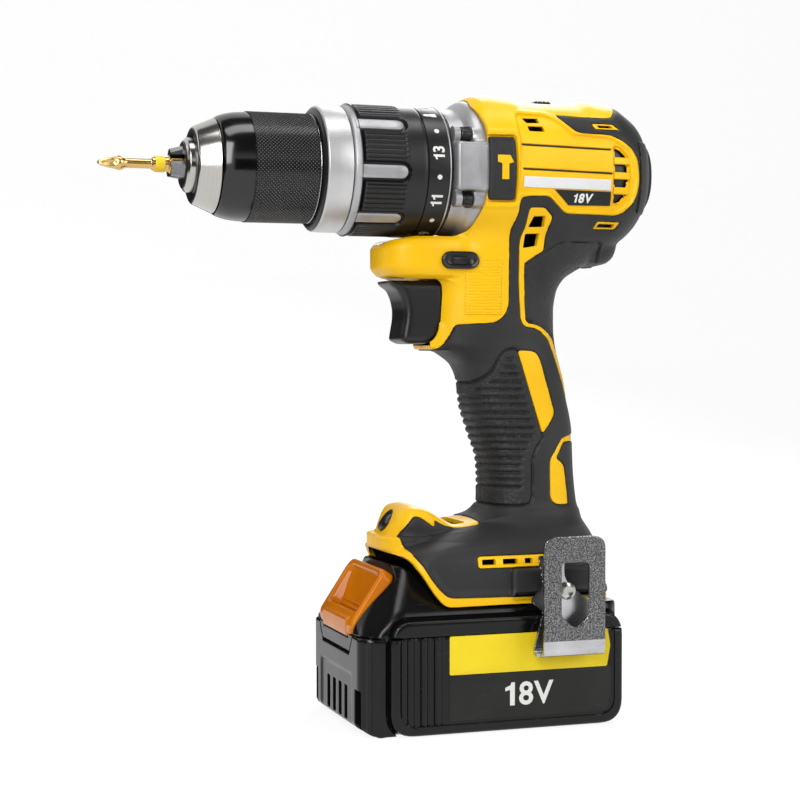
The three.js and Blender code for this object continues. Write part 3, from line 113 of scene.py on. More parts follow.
# %% A short way to write shader nodes
class Tree:
    """A node tree: put() adds a node, sets its values and joins its sockets."""

    def __init__(self, tree):
        self.tree = tree

    def put(self, kind, sockets=None, **settings):
        """Adds a node; sockets maps an input's name or number to a value or an output socket."""
        node = self.tree.nodes.new("ShaderNode" + kind)
        for key, value in settings.items():
            setattr(node, key, value)
        for key, value in (sockets or {}).items():
            if isinstance(value, bpy.types.NodeSocket):
                self.join(value, node.inputs[key])
            else:
                node.inputs[key].default_value = value
        return node

    def join(self, output, target):
        """A link from an output socket to an input socket."""
        self.tree.links.new(output, target)

    def math(self, operation, *values):
        """One Math node, and its output."""
        return self.put("Math", dict(enumerate(values)), operation=operation).outputs[0]

    def mix(self, share, low, high):
        """A colour between two colours."""
        return self.put("Mix", {0: share, 6: low, 7: high}, data_type="RGBA").outputs[2]

    def ramp(self, value, low, high, bottom=0.0, top=1.0):
        """A straight rise of value from low..high to bottom..top, held flat outside."""
        node = self.put("MapRange", {"Value": value, "From Min": low, "From Max": high,
                                     "To Min": bottom, "To Max": top})
        return node.outputs["Result"]


def emptied(owner):
    """The node tree of a material or a world, with nothing in it."""
    owner.use_nodes = True
    owner.node_tree.nodes.clear()
    return Tree(owner.node_tree)


# %% White world
def seen_directly(tree):
    """1 for the rays that show the background: from the camera, by transmission or by gloss."""
    paths = tree.put("LightPath").outputs
    seen = tree.math("MAXIMUM", paths["Is Camera Ray"], paths["Is Transmission Ray"])
    return tree.math("MAXIMUM", seen, paths["Is Glossy Ray"])


WHITE = (1, 1, 1, 1)
scene.world = bpy.data.worlds.new("studio")
tree = emptied(scene.world)
shown = seen_directly(tree)
height = tree.put("SeparateXYZ", {0: tree.put("TexCoord").outputs["Generated"]}).outputs[2]
soft = tree.put("Background", {"Color": WHITE, "Strength": 0.30})
white = tree.put("Background", {"Color": WHITE, "Strength": tree.ramp(height, 0.16, 0.5, 1.0, 0.06)})
both = tree.put("MixShader", {0: shown, 1: soft.outputs[0], 2: white.outputs[0]})
tree.put("OutputWorld", {"Surface": both.outputs[0]})
print("world:", scene.world.name)


# %% Paper floor
def on_stage(name, points, quads, finish):
    """A sheet that belongs to the studio and not to the drill."""
    mesh = bpy.data.meshes.new(name)
    mesh.from_pydata(points.tolist(), [], quads.tolist())
    mesh.materials.append(finish)
    sheet = added(name, mesh)
    return sheet


def swept_paper(reach=2.6, wall=1.5, bend=0.5, height=2.4, columns=33, rows=49):
    """A sheet of paper: flat at z = 0, then a quarter circle of radius bend, then a straight wall."""
    flat = reach + wall - bend
    run = np.linspace(0, 1, rows) * (flat + np.pi / 2 * bend + height)
    angle = np.clip((run - flat) / bend, 0, np.pi / 2)
    y = -reach + np.minimum(run, flat) + bend * np.sin(angle)
    z = bend * (1 - np.cos(angle)) + np.clip(run - flat - np.pi / 2 * bend, 0, None)
    x = np.linspace(-reach, reach, columns)
    points = np.stack([np.tile(x, rows), np.repeat(y, columns), np.repeat(z, columns)], 1)
    index = np.arange(rows * columns).reshape(rows, columns)
    quads = np.stack([index[:-1, :-1], index[:-1, 1:], index[1:, 1:], index[1:, :-1]], -1)
    return points, quads.reshape(-1, 4)


paper = bpy.data.materials.new("floor_paper")
tree = emptied(paper)
shown = seen_directly(tree)
plain = tree.put("BsdfDiffuse", {"Color": (0.7, 0.7, 0.7, 1)})
shade = tree.put("BsdfDiffuse", {"Color": (0.16, 0.16, 0.16, 1)})
glow = tree.put("Emission", {"Color": WHITE, "Strength": 0.88})
lit = tree.put("AddShader", {0: shade.outputs[0], 1: glow.outputs[0]})
both = tree.put("MixShader", {0: shown, 1: plain.outputs[0], 2: lit.outputs[0]})
tree.put("OutputMaterial", {"Surface": both.outputs[0]})
floor = on_stage("studio_floor", *swept_paper(), paper)
print("floor faces:", len(floor.data.polygons))

# %% [markdown]
# Shiny things lit from all sides look flat, so a studio hangs a black card beside the lens.
# It is seen only in reflections, where it draws the dark bands that make steel look like steel.


# %% Black cards
def card(start, stop, radius=0.95, height=0.40, columns=40):
    """Part of a cylinder round the drill, standing on the floor, from one azimuth to another."""
    angle = np.radians(np.linspace(start, stop, columns))
    points = np.stack([np.tile(radius * np.sin(angle), 2), np.tile(-radius * np.cos(angle), 2),
                       np.repeat([0.004, height], columns)], 1)
    k = np.arange(columns - 1)
    return points, np.stack([k, k + columns, k + columns + 1, k + 1], 1)


velvet = bpy.data.materials.new("card_velvet")
tree = emptied(velvet)
dark = tree.put("BsdfDiffuse", {"Color": (0.012, 0.012, 0.012, 1)})
tree.put("OutputMaterial", {"Surface": dark.outputs[0]})
CARDS = ((-190, -50), (-22, 24))  # first and last azimuth in degrees
for start, stop in CARDS:
    black_card = on_stage("black_card", *card(start, stop), velvet)
    black_card.visible_camera = black_card.visible_diffuse = False
    black_card.visible_shadow = black_card.visible_transmission = False
print("black cards:", len(CARDS))

# %% [markdown]
# ## From formulas to meshes
# Most parts come from one of three recipes. Turned parts are a profile carried round the drive
# axis. Flat parts are an outline stacked in layers, whose edges step in to make a round. Moulded
# bodies flow into each other, so they are written as a field, a number that is negative inside,
# and the surface where the field is zero is meshed.

# %% Curves and fields
AXIS = 210.0  # height of the drive axis


def ease(table, at):
    """Smooth curve through rows [place, values...]: a cubic between rows, level at each peak."""
    table = np.asarray(table, float)
    places, values = table[:, 0], table[:, 1:]
    step = np.diff(places)[:, None]
    slope = np.diff(values, axis=0) / step
    lean = np.zeros_like(values)
    first, second = 2 * step[1:] + step[:-1], step[1:] + 2 * step[:-1]
    with np.errstate(divide="ignore", invalid="ignore"):
        mean = (first + second) / (first / slope[:-1] + second / slope[1:])
    lean[1:-1] = np.where(slope[:-1] * slope[1:] > 0, mean, 0)
    lean[0], lean[-1] = slope[0], slope[-1]
    at = np.clip(np.asarray(at, float), places[0], places[-1])
    row = np.clip(np.searchsorted(places, at, side="right") - 1, 0, len(places) - 2)
    gap = places[row + 1] - places[row]
    u = ((at - places[row]) / gap)[..., None]
    gap = gap[..., None]
    out = ((1 + 2 * u) * (1 - u) ** 2 * values[row] + u * (1 - u) ** 2 * gap * lean[row]
           + u * u * (3 - 2 * u) * values[row + 1] + u * u * (u - 1) * gap * lean[row + 1])
    return [out[..., n] for n in range(values.shape[1])]


def join(a, b, radius=0.0):
    """Union of two fields: the smaller one, rounded where they differ by less than the radius."""
    if not radius:
        return np.minimum(a, b)
    share = np.clip(0.5 + 0.5 * (b - a) / radius, 0, 1)
    return b + (a - b) * share - radius * share * (1 - share)


def both_of(a, b, radius=0.0):
    """Intersection of two fields, with its edge rounded over the radius."""
    return -join(-a, -b, radius)


def without(a, b, radius=0.0):
    """Field a with field b cut out of it."""
    return both_of(a, -b, radius)


def ring(u, v, a, b, power):
    """Distance along the ray from the superellipse |u/a|^p + |v/b|^p = 1."""
    reach = np.sqrt(u * u + v * v) + 1e-6
    size = (np.abs(u / a) ** power + np.abs(v / b) ** power) ** (1 / power) + 1e-9
    return reach * (1 - 1 / size)


def slab(x, y, z, low, high, radius=0.0):
    """Box between two corners, with round edges: the length of what lies beyond its inner box."""
    low, high = np.asarray(low, float), np.asarray(high, float)
    middle, half = (low + high) / 2, (high - low) / 2 - radius
    beyond = [np.abs(v - m) - h for v, m, h in zip((x, y, z), middle, half)]
    outer = np.sqrt(sum(np.maximum(b, 0) ** 2 for b in beyond))
    return outer + np.minimum(np.maximum(np.maximum(beyond[0], beyond[1]), beyond[2]), 0) - radius


def rounded(outline, radius, count=5):
    """The outline with each corner replaced by an arc-like curve that starts radius away."""
    points = np.asarray(outline, float)
    before, after = np.roll(points, 1, 0), np.roll(points, -1, 0)
    to_before, to_after = before - points, after - points
    near = np.linalg.norm(to_before, axis=1, keepdims=True)
    far = np.linalg.norm(to_after, axis=1, keepdims=True)
    start = points + to_before / near * np.minimum(radius, near * 0.48)
    end = points + to_after / far * np.minimum(radius, far * 0.48)
    t = np.linspace(0, 1, count)[None, :, None]
    curve = (1 - t) ** 2 * start[:, None] + 2 * t * (1 - t) * points[:, None] + t ** 2 * end[:, None]
    return curve.reshape(-1, 2)


def squared_gap(u, v, start, end):
    """Squared distance from a straight line between two points: t is the place along it, 0 to 1."""
    (u0, v0), (u1, v1) = start, end
    du, dv = u1 - u0, v1 - v0
    t = np.clip(((u - u0) * du + (v - v0) * dv) / (du * du + dv * dv + 1e-12), 0, 1)
    return (u - u0 - t * du) ** 2 + (v - v0 - t * dv) ** 2


def near_line(u, v, line):
    """Distance from an open line through points in a plane."""
    return np.sqrt(np.min([squared_gap(u, v, a, b) for a, b in zip(line[:-1], line[1:])], axis=0))


def inside(u, v, outline):
    """Signed distance from a closed outline in a plane: negative where a ray crosses it oddly."""
    points = np.asarray(outline, float)
    nearest, crossings = np.inf, False
    for start, end in zip(points, np.roll(points, -1, 0)):
        nearest = np.minimum(nearest, squared_gap(u, v, start, end))
        (u0, v0), (u1, v1) = start, end
        rise = v1 - v0 if v1 != v0 else 1e-12
        between = (v0 > v) != (v1 > v)
        crossings = crossings ^ (between & (u < u0 + (u1 - u0) * (v - v0) / rise))
    return np.where(crossings, -1, 1) * np.sqrt(nearest)


def side_map(measure, low, high, step=0.25):
    """Samples measure(x, z) on a grid once; the answer looks values up by straight interpolation."""
    size = np.ceil(np.subtract(high, low) / step).astype(int) + 1
    x, z = [a + step * np.arange(n) for a, n in zip(low, size)]
    table = np.broadcast_to(measure(x[:, None], z[None, :]), size)

    def look_up(x, z):
        u = np.clip((x - low[0]) / step, 0, size[0] - 1.001)
        v = np.clip((z - low[1]) / step, 0, size[1] - 1.001)
        i, j = u.astype(int), v.astype(int)
        u, v = u - i, v - j
        return ((table[i, j] * (1 - v) + table[i, j + 1] * v) * (1 - u)
                + (table[i + 1, j] * (1 - v) + table[i + 1, j + 1] * v) * u)
    return look_up


# %% [markdown]
# ## Meshing a field
# Marching cubes would round every edge off. Dual contouring keeps them: each cell of a grid that
# the surface crosses gets one point, put where the tangent planes of its crossings meet, and
# each crossed grid edge becomes a quad between its four cells.

# %% Dual contouring
def crossed_edges(values, axes):
    """Grid edges with a change of sign: both ends as (x, y, z, value), their cells, and the sense."""
    solid = values < 0
    cells = tuple(n - 1 for n in values.shape)
    starts, ends, owners = [], [], []
    for axis in range(3):
        ahead, behind = [slice(None)] * 3, [slice(None)] * 3
        ahead[axis], behind[axis] = slice(1, None), slice(None, -1)
        first = np.argwhere(solid[tuple(ahead)] != solid[tuple(behind)])
        b, c = (axis + 1) % 3, (axis + 2) % 3
        first = first[(first[:, b] > 0) & (first[:, b] < cells[b])
                      & (first[:, c] > 0) & (first[:, c] < cells[c])]
        second = first.copy()
        second[:, axis] += 1
        for ends_here, at in ((starts, first), (ends, second)):
            places = [axes[n][at[:, n]] for n in range(3)]
            ends_here.append(np.stack(places + [values[tuple(at.T)]], 1))
        around = []
        for shift_b, shift_c in ((-1, -1), (0, -1), (0, 0), (-1, 0)):
            cell = first.copy()
            cell[:, b] += shift_b
            cell[:, c] += shift_c
            around.append(np.ravel_multi_index(tuple(cell.T), cells))
        owners.append(np.stack(around, 1))
    start = np.concatenate(starts)
    return start, np.concatenate(ends), np.concatenate(owners), start[:, 3] > 0


def zero_between(field, start, end, rounds=3):
    """The places on the edges where the field is zero, by the rule of false position."""
    for _ in range(rounds):
        share = (start[:, 3] / (start[:, 3] - end[:, 3]))[:, None]
        middle = start[:, :3] + (end[:, :3] - start[:, :3]) * np.clip(share, 0.02, 0.98)
        value = field(*middle.T)
        middle = np.concatenate([middle, value[:, None]], 1)
        same = ((value < 0) == (start[:, 3] < 0))[:, None]
        start, end = np.where(same, middle, start), np.where(same, end, middle)
    share = (start[:, 3] / (start[:, 3] - end[:, 3] + 1e-12))[:, None]
    return start[:, :3] + (end[:, :3] - start[:, :3]) * np.clip(share, 0, 1)


def normals(field, points, small=0.01):
    """Unit slope of the field, from its differences over a small step each way."""
    slope = np.stack([field(*(points + step).T) - field(*(points - step).T)
                      for step in small * np.eye(3)], 1)
    return slope / (np.linalg.norm(slope, axis=1, keepdims=True) + 1e-12)


def contour(field, low, high, step):
    """Points and quads of the surface where field(x, y, z) = 0, between two corners.

    A cell's point is the mean of its crossings, moved by least squares to where their tangent
    planes meet, and kept within a quarter of a step of the cell.
    """
    axes = [np.arange(a, b + step, step) for a, b in zip(low, high)]
    shape = tuple(len(a) for a in axes)
    values = np.broadcast_to(field(*np.meshgrid(*axes, indexing="ij", sparse=True)), shape)
    start, end, owner, flip = crossed_edges(values, axes)
    point = zero_between(field, start, end)
    normal = normals(field, point)
    used, where = np.unique(owner.ravel(), return_inverse=True)
    where = where.reshape(owner.shape)

    def gathered(amount):
        return sum(np.bincount(where[:, n], amount, len(used)) for n in range(4))

    weight = gathered(np.ones(len(point)))
    centre = np.stack([gathered(point[:, n]) for n in range(3)], 1) / weight[:, None]
    matrix = np.zeros((len(used), 3, 3))
    for n in range(3):
        for m in range(n, 3):
            matrix[:, n, m] = matrix[:, m, n] = gathered(normal[:, n] * normal[:, m])
    plane = (normal * point).sum(1)
    right = np.stack([gathered(normal[:, n] * plane) for n in range(3)], 1)
    right -= np.einsum("ijk,ik->ij", matrix, centre)
    move = np.linalg.solve(matrix + 0.08 * np.eye(3), right[..., None])[..., 0]
    cells = tuple(n - 1 for n in shape)
    corner = np.stack(np.unravel_index(used, cells), 1) * step + np.asarray(low, float)
    spot = np.clip(centre + move, corner - 0.25 * step, corner + 1.25 * step)
    return spot, np.where(flip[:, None], where[:, ::-1], where)


print("fields ready on axis height", AXIS)

# %% [markdown]
# ## Making a piece
# One function turns points and faces into a Blender mesh in metres, shades it smooth with sharp
# edges kept, hangs it on the body it rides on, hides the imported solid it stands for and gives it
# its finish. The object itself stays at the origin, so patterns on Object coordinates stay put.


def blocks(faces):
    """Faces as a list of arrays, one for each number of corners."""
    return [np.asarray(f) for f in (faces if isinstance(faces, (list, tuple)) else [faces])]


def piece(name, points, faces, finish, body, replaces=(), sharp=32, uv=None, marks=None):
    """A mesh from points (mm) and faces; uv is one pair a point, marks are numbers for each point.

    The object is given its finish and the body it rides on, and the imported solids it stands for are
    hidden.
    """
    mesh = bpy.data.meshes.new(name)
    points = np.asarray(points, float) * MM
    faces = blocks(faces)
    sizes = np.concatenate([np.full(len(f), f.shape[1]) for f in faces])
    corners = np.concatenate([f.ravel() for f in faces])
    mesh.vertices.add(len(points))
    mesh.vertices.foreach_set("co", points.ravel())
    mesh.loops.add(len(corners))
    mesh.loops.foreach_set("vertex_index", corners)
    mesh.polygons.add(len(sizes))
    mesh.polygons.foreach_set("loop_start", np.concatenate([[0], np.cumsum(sizes)[:-1]]))
    if uv is not None:
        layer = mesh.uv_layers.new(name="surface")
        layer.data.foreach_set("uv", np.asarray(uv, float)[corners].ravel())
    for key, amount in (marks or {}).items():
        layer = mesh.attributes.new(key, "FLOAT", "POINT")
        layer.data.foreach_set("value", np.asarray(amount, np.float32))
    mesh.update(calc_edges=True)
    mesh.validate()
    mesh.polygons.foreach_set("use_smooth", np.ones(len(mesh.polygons), bool))
    mesh.set_sharp_from_angle(angle=np.radians(sharp))
    mesh.materials.append(finish)
    thing = added(name, mesh)
    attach(thing, body)
    if replaces:
        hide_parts(*replaces)
    return thing


def pair(name, points, faces, finish, body, replaces=(), sharp=32, marks=None):
    """A piece on the left and its mirror image on the right, with its faces turned back outwards."""
    turned_back = [f[:, ::-1] for f in blocks(faces)]
    piece(name + "_left", points, faces, finish, body, replaces[:1], sharp, marks=marks)
    piece(name + "_right", points * [1, -1, 1], turned_back, finish, body, replaces[1:], sharp,
          marks=marks)


def lattice(rows, columns, round_rows=False, round_columns=False):
    """Quads between the points of a rows by columns grid, which may close on itself either way."""
    index = np.arange(rows * columns).reshape(rows, columns)
    if round_rows:
        index = np.concatenate([index, index[:1]])
    if round_columns:
        index = np.concatenate([index, index[:, :1]], 1)
    return np.stack([index[:-1, :-1], index[:-1, 1:], index[1:, 1:], index[1:, :-1]], -1).reshape(-1, 4)


def fan(first, count, tip):
    """Triangles between a ring of points, numbered from first, and the point numbered tip."""
    k = np.arange(count)
    return np.stack([first + k, first + (k + 1) % count, np.full(count, tip)], 1)


def capped(rows, columns):
    """Quads and triangles of a tube whose two poles are numbered after its grid points."""
    count = rows * columns
    return [lattice(rows, columns, False, True), fan(0, columns, count)[:, ::-1],
            fan(count - columns, columns, count + 1)]


def fillet(profile, radius, count=4):
    """A profile with its corners rounded: the ends stay where they are."""
    points = np.asarray(profile, float)
    soft = rounded(points, radius, count).reshape(len(points), count, 2)
    return np.concatenate([points[:1], soft[1:-1].reshape(-1, 2), points[-1:]])


def turned(profile, around=144, shape=None, closed=False):
    """Carries a profile of (x, radius) points round the drive axis.

    The point at angle a is (x, -r cos a, AXIS + r sin a), so a = 0 faces the left side; shape(x, r, a)
    may change the radius. An open profile starts and ends on the axis, and those ends become poles.
    """
    x, r = np.asarray(profile, float).T
    angle = np.linspace(0, 2 * np.pi, around, endpoint=False)
    body = slice(None) if closed else slice(1, -1)
    xs, rs = x[body, None] + 0 * angle, r[body, None] + 0 * angle
    spread = angle + 0 * xs
    if shape is not None:
        rs = shape(xs, rs, spread)
    points = np.stack([xs, -rs * np.cos(spread), AXIS + rs * np.sin(spread)], -1).reshape(-1, 3)
    rows = xs.shape[0]
    run = np.concatenate([[0], np.cumsum(np.hypot(np.diff(x), np.diff(r)))])
    uv = np.stack([run[body, None] + 0 * angle, spread], -1).reshape(-1, 2)
    if closed:
        return points, [lattice(rows, around, True, True)], uv
    points = np.concatenate([points, [[x[0], 0, AXIS], [x[-1], 0, AXIS]]])
    uv = np.concatenate([uv, [[run[0], 0], [run[-1], 0]]])
    return points, capped(rows, around), uv


def spun(profile, around, middle, facing, across, upward, poles=None):
    """A profile of (along, radius) carried round any line.

    The point at angle a is middle + along * facing + radius * (cos a * across + sin a * upward).
    Poles are the two places on the line where the ends close; without them the profile is closed.
    """
    middle, facing = np.asarray(middle, float), np.asarray(facing, float)
    along, radius = np.asarray(profile, float).T[:, :, None, None]
    angle = np.linspace(0, 2 * np.pi, around, endpoint=False)[None, :, None]
    rings = (middle + along * facing
             + radius * np.cos(angle) * across + radius * np.sin(angle) * upward)
    points = rings.reshape(-1, 3)
    if poles is None:
        return points, outward(points, lattice(len(profile), around, True, True))
    points = np.concatenate([points, [middle + place * facing for place in poles]])
    return points, outward(points, capped(len(profile), around))


def outward(points, faces):
    """Turns all faces over if the volume they enclose comes out negative."""
    faces = blocks(faces)
    volume = 0.0
    for f in faces:
        a, b, c = points[f[:, 0]], points[f[:, 1]], points[f[:, 2]]
        volume += (a * np.cross(b, c)).sum()
        if f.shape[1] == 4:
            d = points[f[:, 3]]
            volume += (a * np.cross(c, d)).sum()
    return faces if volume > 0 else [f[:, ::-1] for f in faces]


def inset(outline, amount):
    """The outline moved inwards along its corner normals, for an outline that runs anticlockwise."""
    points = np.asarray(outline, float)
    ahead = np.roll(points, -1, 0) - points
    ahead /= np.linalg.norm(ahead, axis=1, keepdims=True) + 1e-12
    behind = np.roll(ahead, 1, 0)
    middle = ahead + behind
    middle /= np.linalg.norm(middle, axis=1, keepdims=True) + 1e-12
    stretch = 1 / np.clip((middle * ahead).sum(1), 0.5, 1)
    return points + np.stack([-middle[:, 1], middle[:, 0]], 1) * (amount * stretch)[:, None]


def layered(outline, layers, fill=3):
    """A flat part: the outline stacked in layers of (inset, height), closed at both ends.

    Each end is closed by shrinking the last ring to its middle in a few steps. Points come back
    as (u, v, height).
    """
    outline = np.asarray(outline, float)
    u, v = outline.T
    area = (u * np.roll(v, -1) - np.roll(u, -1) * v).sum()
    outline = outline if area > 0 else outline[::-1]
    count = len(outline)
    rings = [(inset(outline, amount), height) for amount, height in layers]
    middle = rings[0][0].mean(0)
    shrink = np.linspace(1, 0, fill + 1)[1:-1]

    def shrunk(end, shares):
        edge, height = end
        return [((edge - middle) * share + middle, height) for share in shares]

    stack = shrunk(rings[0], shrink[::-1]) + rings + shrunk(rings[-1], shrink)
    points = np.concatenate([np.concatenate([p, np.full((count, 1), h)], 1) for p, h in stack])
    points = np.concatenate([points, [[*middle, rings[0][1]], [*middle, rings[-1][1]]]])
    return points, outward(points, capped(len(stack), count))


def combined(*parts):
    """Several (points, faces) pairs as one."""
    points, faces, start = [], {3: [], 4: []}, 0
    for p, f in parts:
        for block in blocks(f):
            faces[block.shape[1]].append(block + start)
        points.append(p)
        start += len(p)
    return np.concatenate(points), [np.concatenate(b) for b in faces.values() if b]


def lathed(name, profile, around, finish, body, replaces=(), sharp=32, shape=None, closed=True):
    """A piece turned round the drive axis from a profile, with its faces outwards."""
    points, faces, uv = turned(profile, around, shape, closed)
    return piece(name, points, outward(points, faces), finish, body, replaces, sharp, uv)


print("recipes ready: turned, spun, layered and contour")

# %% [markdown]
# ## Shared effects
# Moulded plastic, cast metal and machined steel differ in colour, but the things that make them
# look real repeat: a fine grain from the mould, cloudy differences in gloss, hairline scratches
# and turning marks. Each effect is a node group, built once, and a finish places it with its own
# numbers. A group gives only heights and masks, so the shader stays in the material.

# %% Node groups
def effect(name, inputs, outputs):
    """An empty shader group with float inputs (name, default), a vector input and float outputs."""
    group = bpy.data.node_groups.new(name, "ShaderNodeTree")
    add = group.interface.new_socket
    add("Vector", in_out="INPUT", socket_type="NodeSocketVector")
    for label, default in inputs:
        add(label, in_out="INPUT", socket_type="NodeSocketFloat").default_value = default
    for label in outputs:
        add(label, in_out="OUTPUT", socket_type="NodeSocketFloat")
    given, result = group.nodes.new("NodeGroupInput"), group.nodes.new("NodeGroupOutput")
    return Tree(group), given.outputs, result.inputs


def placed(tree, group, vector, **values):
    """A node group inside a tree, with its values set."""
    sockets = {"Vector": vector, **values}
    return tree.put("Group", sockets, node_tree=bpy.data.node_groups[group]).outputs


tree, given, result = effect("mould_grain", [("Grain", 0.3)], ["Height", "Cloud"])
per_mm = tree.math("DIVIDE", 1000.0, given["Grain"])
bumps = tree.put("TexVoronoi", {"Vector": given["Vector"], "Scale": per_mm}, feature="SMOOTH_F1")
coarser = tree.math("MULTIPLY", per_mm, 0.45)
uneven = tree.put("TexNoise", {"Vector": given["Vector"], "Scale": coarser, "Detail": 2.0})
cloud = tree.put("TexNoise", {"Vector": given["Vector"], "Scale": 45.0, "Detail": 3.0, "Roughness": 0.55})
pebbles = tree.math("MULTIPLY", bumps.outputs["Distance"], 0.6)
tree.join(tree.math("ADD", pebbles, tree.math("MULTIPLY", uneven.outputs[0], 0.6)), result["Height"])
tree.join(tree.ramp(cloud.outputs[0], 0.3, 0.7), result["Cloud"])

tree, given, result = effect("hairlines", [("Amount", 0.5)], ["Mask"])
scratches = []
for turn, stretch, start in (((0.3, 0.7, 0.4), (120.0, 2600.0, 900.0), 0.70),
                             ((1.1, -0.5, 0.9), (1900.0, 110.0, 1300.0), 0.71)):
    drawn = tree.put("Mapping", {"Vector": given["Vector"], "Rotation": turn, "Scale": stretch})
    lines = tree.put("TexNoise", {"Vector": drawn.outputs[0], "Scale": 1.0, "Detail": 1.0})
    scratches.append(tree.ramp(lines.outputs[0], start, start + 0.08))
tree.join(tree.math("MULTIPLY", tree.math("MAXIMUM", *scratches), given["Amount"]), result["Mask"])

tree, given, result = effect("turning_marks", [("Pitch", 0.25)], ["Height", "Streak"])
centred = tree.put("Mapping", {"Vector": given["Vector"], "Location": (0, 0, -AXIS * MM)})
parts = tree.put("SeparateXYZ", {0: centred.outputs[0]}).outputs
squares = [tree.math("MULTIPLY", part, part) for part in (parts[1], parts[2])]
run = tree.math("ADD", parts[0], tree.math("SQRT", tree.math("ADD", *squares)))
turns = tree.math("DIVIDE", tree.math("MULTIPLY", run, 1000.0), given["Pitch"])
marks = tree.put("TexNoise", {"W": turns, "Scale": 1.0, "Detail": 2.0}, noise_dimensions="1D")
wide = tree.math("MULTIPLY", run, 3100.0)
bands = tree.put("TexNoise", {"W": wide, "Scale": 1.0, "Detail": 3.0}, noise_dimensions="1D")
tree.join(marks.outputs[0], result["Height"])
tree.join(tree.ramp(bands.outputs[0], 0.3, 0.7), result["Streak"])
print("effects:", [group.name for group in bpy.data.node_groups])

# %% [markdown]
# ## Finishes
# A plastic finish has a colour that drifts a little, a roughness that follows the same clouds,
# and the grain as a bump of a few hundredths of a millimetre. A metal finish adds turning marks
# or sand grain. Colours are written as linear values.

# %% Plastic and metal finishes
def started(name):
    """A new material: its tree, its shader and its Object coordinates."""
    material = bpy.data.materials.new(name)
    tree = emptied(material)
    shader = tree.put("BsdfPrincipled")
    tree.put("OutputMaterial", {"Surface": shader.outputs[0]})
    return material, tree, shader, tree.put("TexCoord").outputs["Object"]


def colour(*parts):
    """Colour with its alpha."""
    return (*parts, 1.0)


STIPPLE_SIZE, STIPPLE_HEIGHT = 1.0, 14.0  # mm, and times the height of the fine grain


def moulded(name, base, deep, rough, grain, height, scuffs, shine=0.5, stipple=False, painted_highlight=None):
    """Plastic or rubber.

    Base and deep are colours mixed by clouds, rough is the roughness, grain and height are the
    size and depth of the mould's grain in mm, scuffs the strength of its hairlines. The attribute
    "stipple" roughens the grip; a second attribute mixes in a lighter colour, a painted highlight.
    """
    material, tree, shader, place = started(name)
    skin = placed(tree, "mould_grain", place, Grain=grain)
    hair = placed(tree, "hairlines", place, Amount=scuffs)["Mask"]
    tint = tree.mix(skin["Cloud"], colour(*base), colour(*deep))
    pale = colour(*[min(1.0, part * 1.25 + 0.05) for part in base])
    if painted_highlight:
        tint = tree.mix(tree.put("Attribute", attribute_name="painted_highlight").outputs["Fac"], tint, colour(*painted_highlight))
    tree.join(tree.mix(tree.math("MULTIPLY", hair, 0.5), tint, pale), shader.inputs["Base Color"])
    gloss = tree.ramp(skin["Cloud"], 0.0, 1.0, rough - 0.05, rough + 0.05)
    tree.join(tree.math("ADD", gloss, tree.math("MULTIPLY", hair, 0.15)), shader.inputs["Roughness"])
    lift = skin["Height"]
    if stipple:
        coarse = placed(tree, "mould_grain", place, Grain=STIPPLE_SIZE)["Height"]
        mask = tree.put("Attribute", attribute_name="stipple").outputs["Fac"]
        coarse = tree.math("MULTIPLY", tree.math("MULTIPLY", coarse, mask), STIPPLE_HEIGHT)
        lift = tree.math("ADD", lift, coarse)
    bump = tree.put("Bump", {"Height": lift, "Distance": height * MM, "Strength": 1.0})
    tree.join(bump.outputs[0], shader.inputs["Normal"])
    shader.inputs["Specular IOR Level"].default_value = shine
    return material


def metallic(name, base, deep, rough, pitch, lines=0.0, sand=0.0, grain=0.3, scuffs=0.3, metal=1.0,
             flecks=False):
    """Metal.

    Pitch and lines are the spacing and height of its turning marks, sand and grain the height and
    size of its cast grain, all in mm. Flecks colours it by that grain, as on a plated sheet.
    """
    material, tree, shader, place = started(name)
    turning = placed(tree, "turning_marks", place, Pitch=pitch)
    skin = placed(tree, "mould_grain", place, Grain=grain)
    hair = placed(tree, "hairlines", place, Amount=scuffs)["Mask"]
    streak = turning["Streak"] if lines else skin["Cloud"]
    share = tree.math("MULTIPLY", tree.math("ADD", streak, skin["Cloud"]), 0.5)
    if flecks:
        share = tree.ramp(skin["Height"], 0.42, 0.62)
    tree.join(tree.mix(share, colour(*base), colour(*deep)), shader.inputs["Base Color"])
    gloss = tree.ramp(share, 0.0, 1.0, rough - 0.05, rough + 0.07)
    tree.join(tree.math("ADD", gloss, tree.math("MULTIPLY", hair, 0.12)), shader.inputs["Roughness"])
    lift = tree.math("ADD", tree.math("MULTIPLY", turning["Height"], lines),
                     tree.math("MULTIPLY", skin["Height"], sand))
    bump = tree.put("Bump", {"Height": lift, "Distance": MM, "Strength": 1.0})
    tree.join(bump.outputs[0], shader.inputs["Normal"])
    shader.inputs["Metallic"].default_value = metal
    return material


# %% The drill's plastics and metals
YELLOW = moulded("housing_yellow", (0.90, 0.525, 0.003), (0.84, 0.465, 0.002),
                 rough=0.36, grain=0.32, height=0.010, scuffs=0.2, shine=0.26)
RUBBER = moulded("overmould_rubber", (0.017, 0.017, 0.018), (0.010, 0.010, 0.011),
                 rough=0.55, grain=0.30, height=0.03, scuffs=0.25, shine=0.42, stipple=True)
BLACK = moulded("black_plastic", (0.009, 0.009, 0.010), (0.006, 0.006, 0.006),
                rough=0.34, grain=0.35, height=0.010, scuffs=0.25, shine=0.42)
SATIN_BLACK = moulded("battery_black", (0.0055, 0.0055, 0.0055), (0.003, 0.003, 0.003),
                      rough=0.20, grain=0.30, height=0.002, scuffs=0.3, shine=0.30)
GLOSS_BLACK = moulded("gloss_black", (0.004, 0.004, 0.004), (0.002, 0.002, 0.002),
                      rough=0.13, grain=0.5, height=0.0006, scuffs=0.15, shine=0.6)
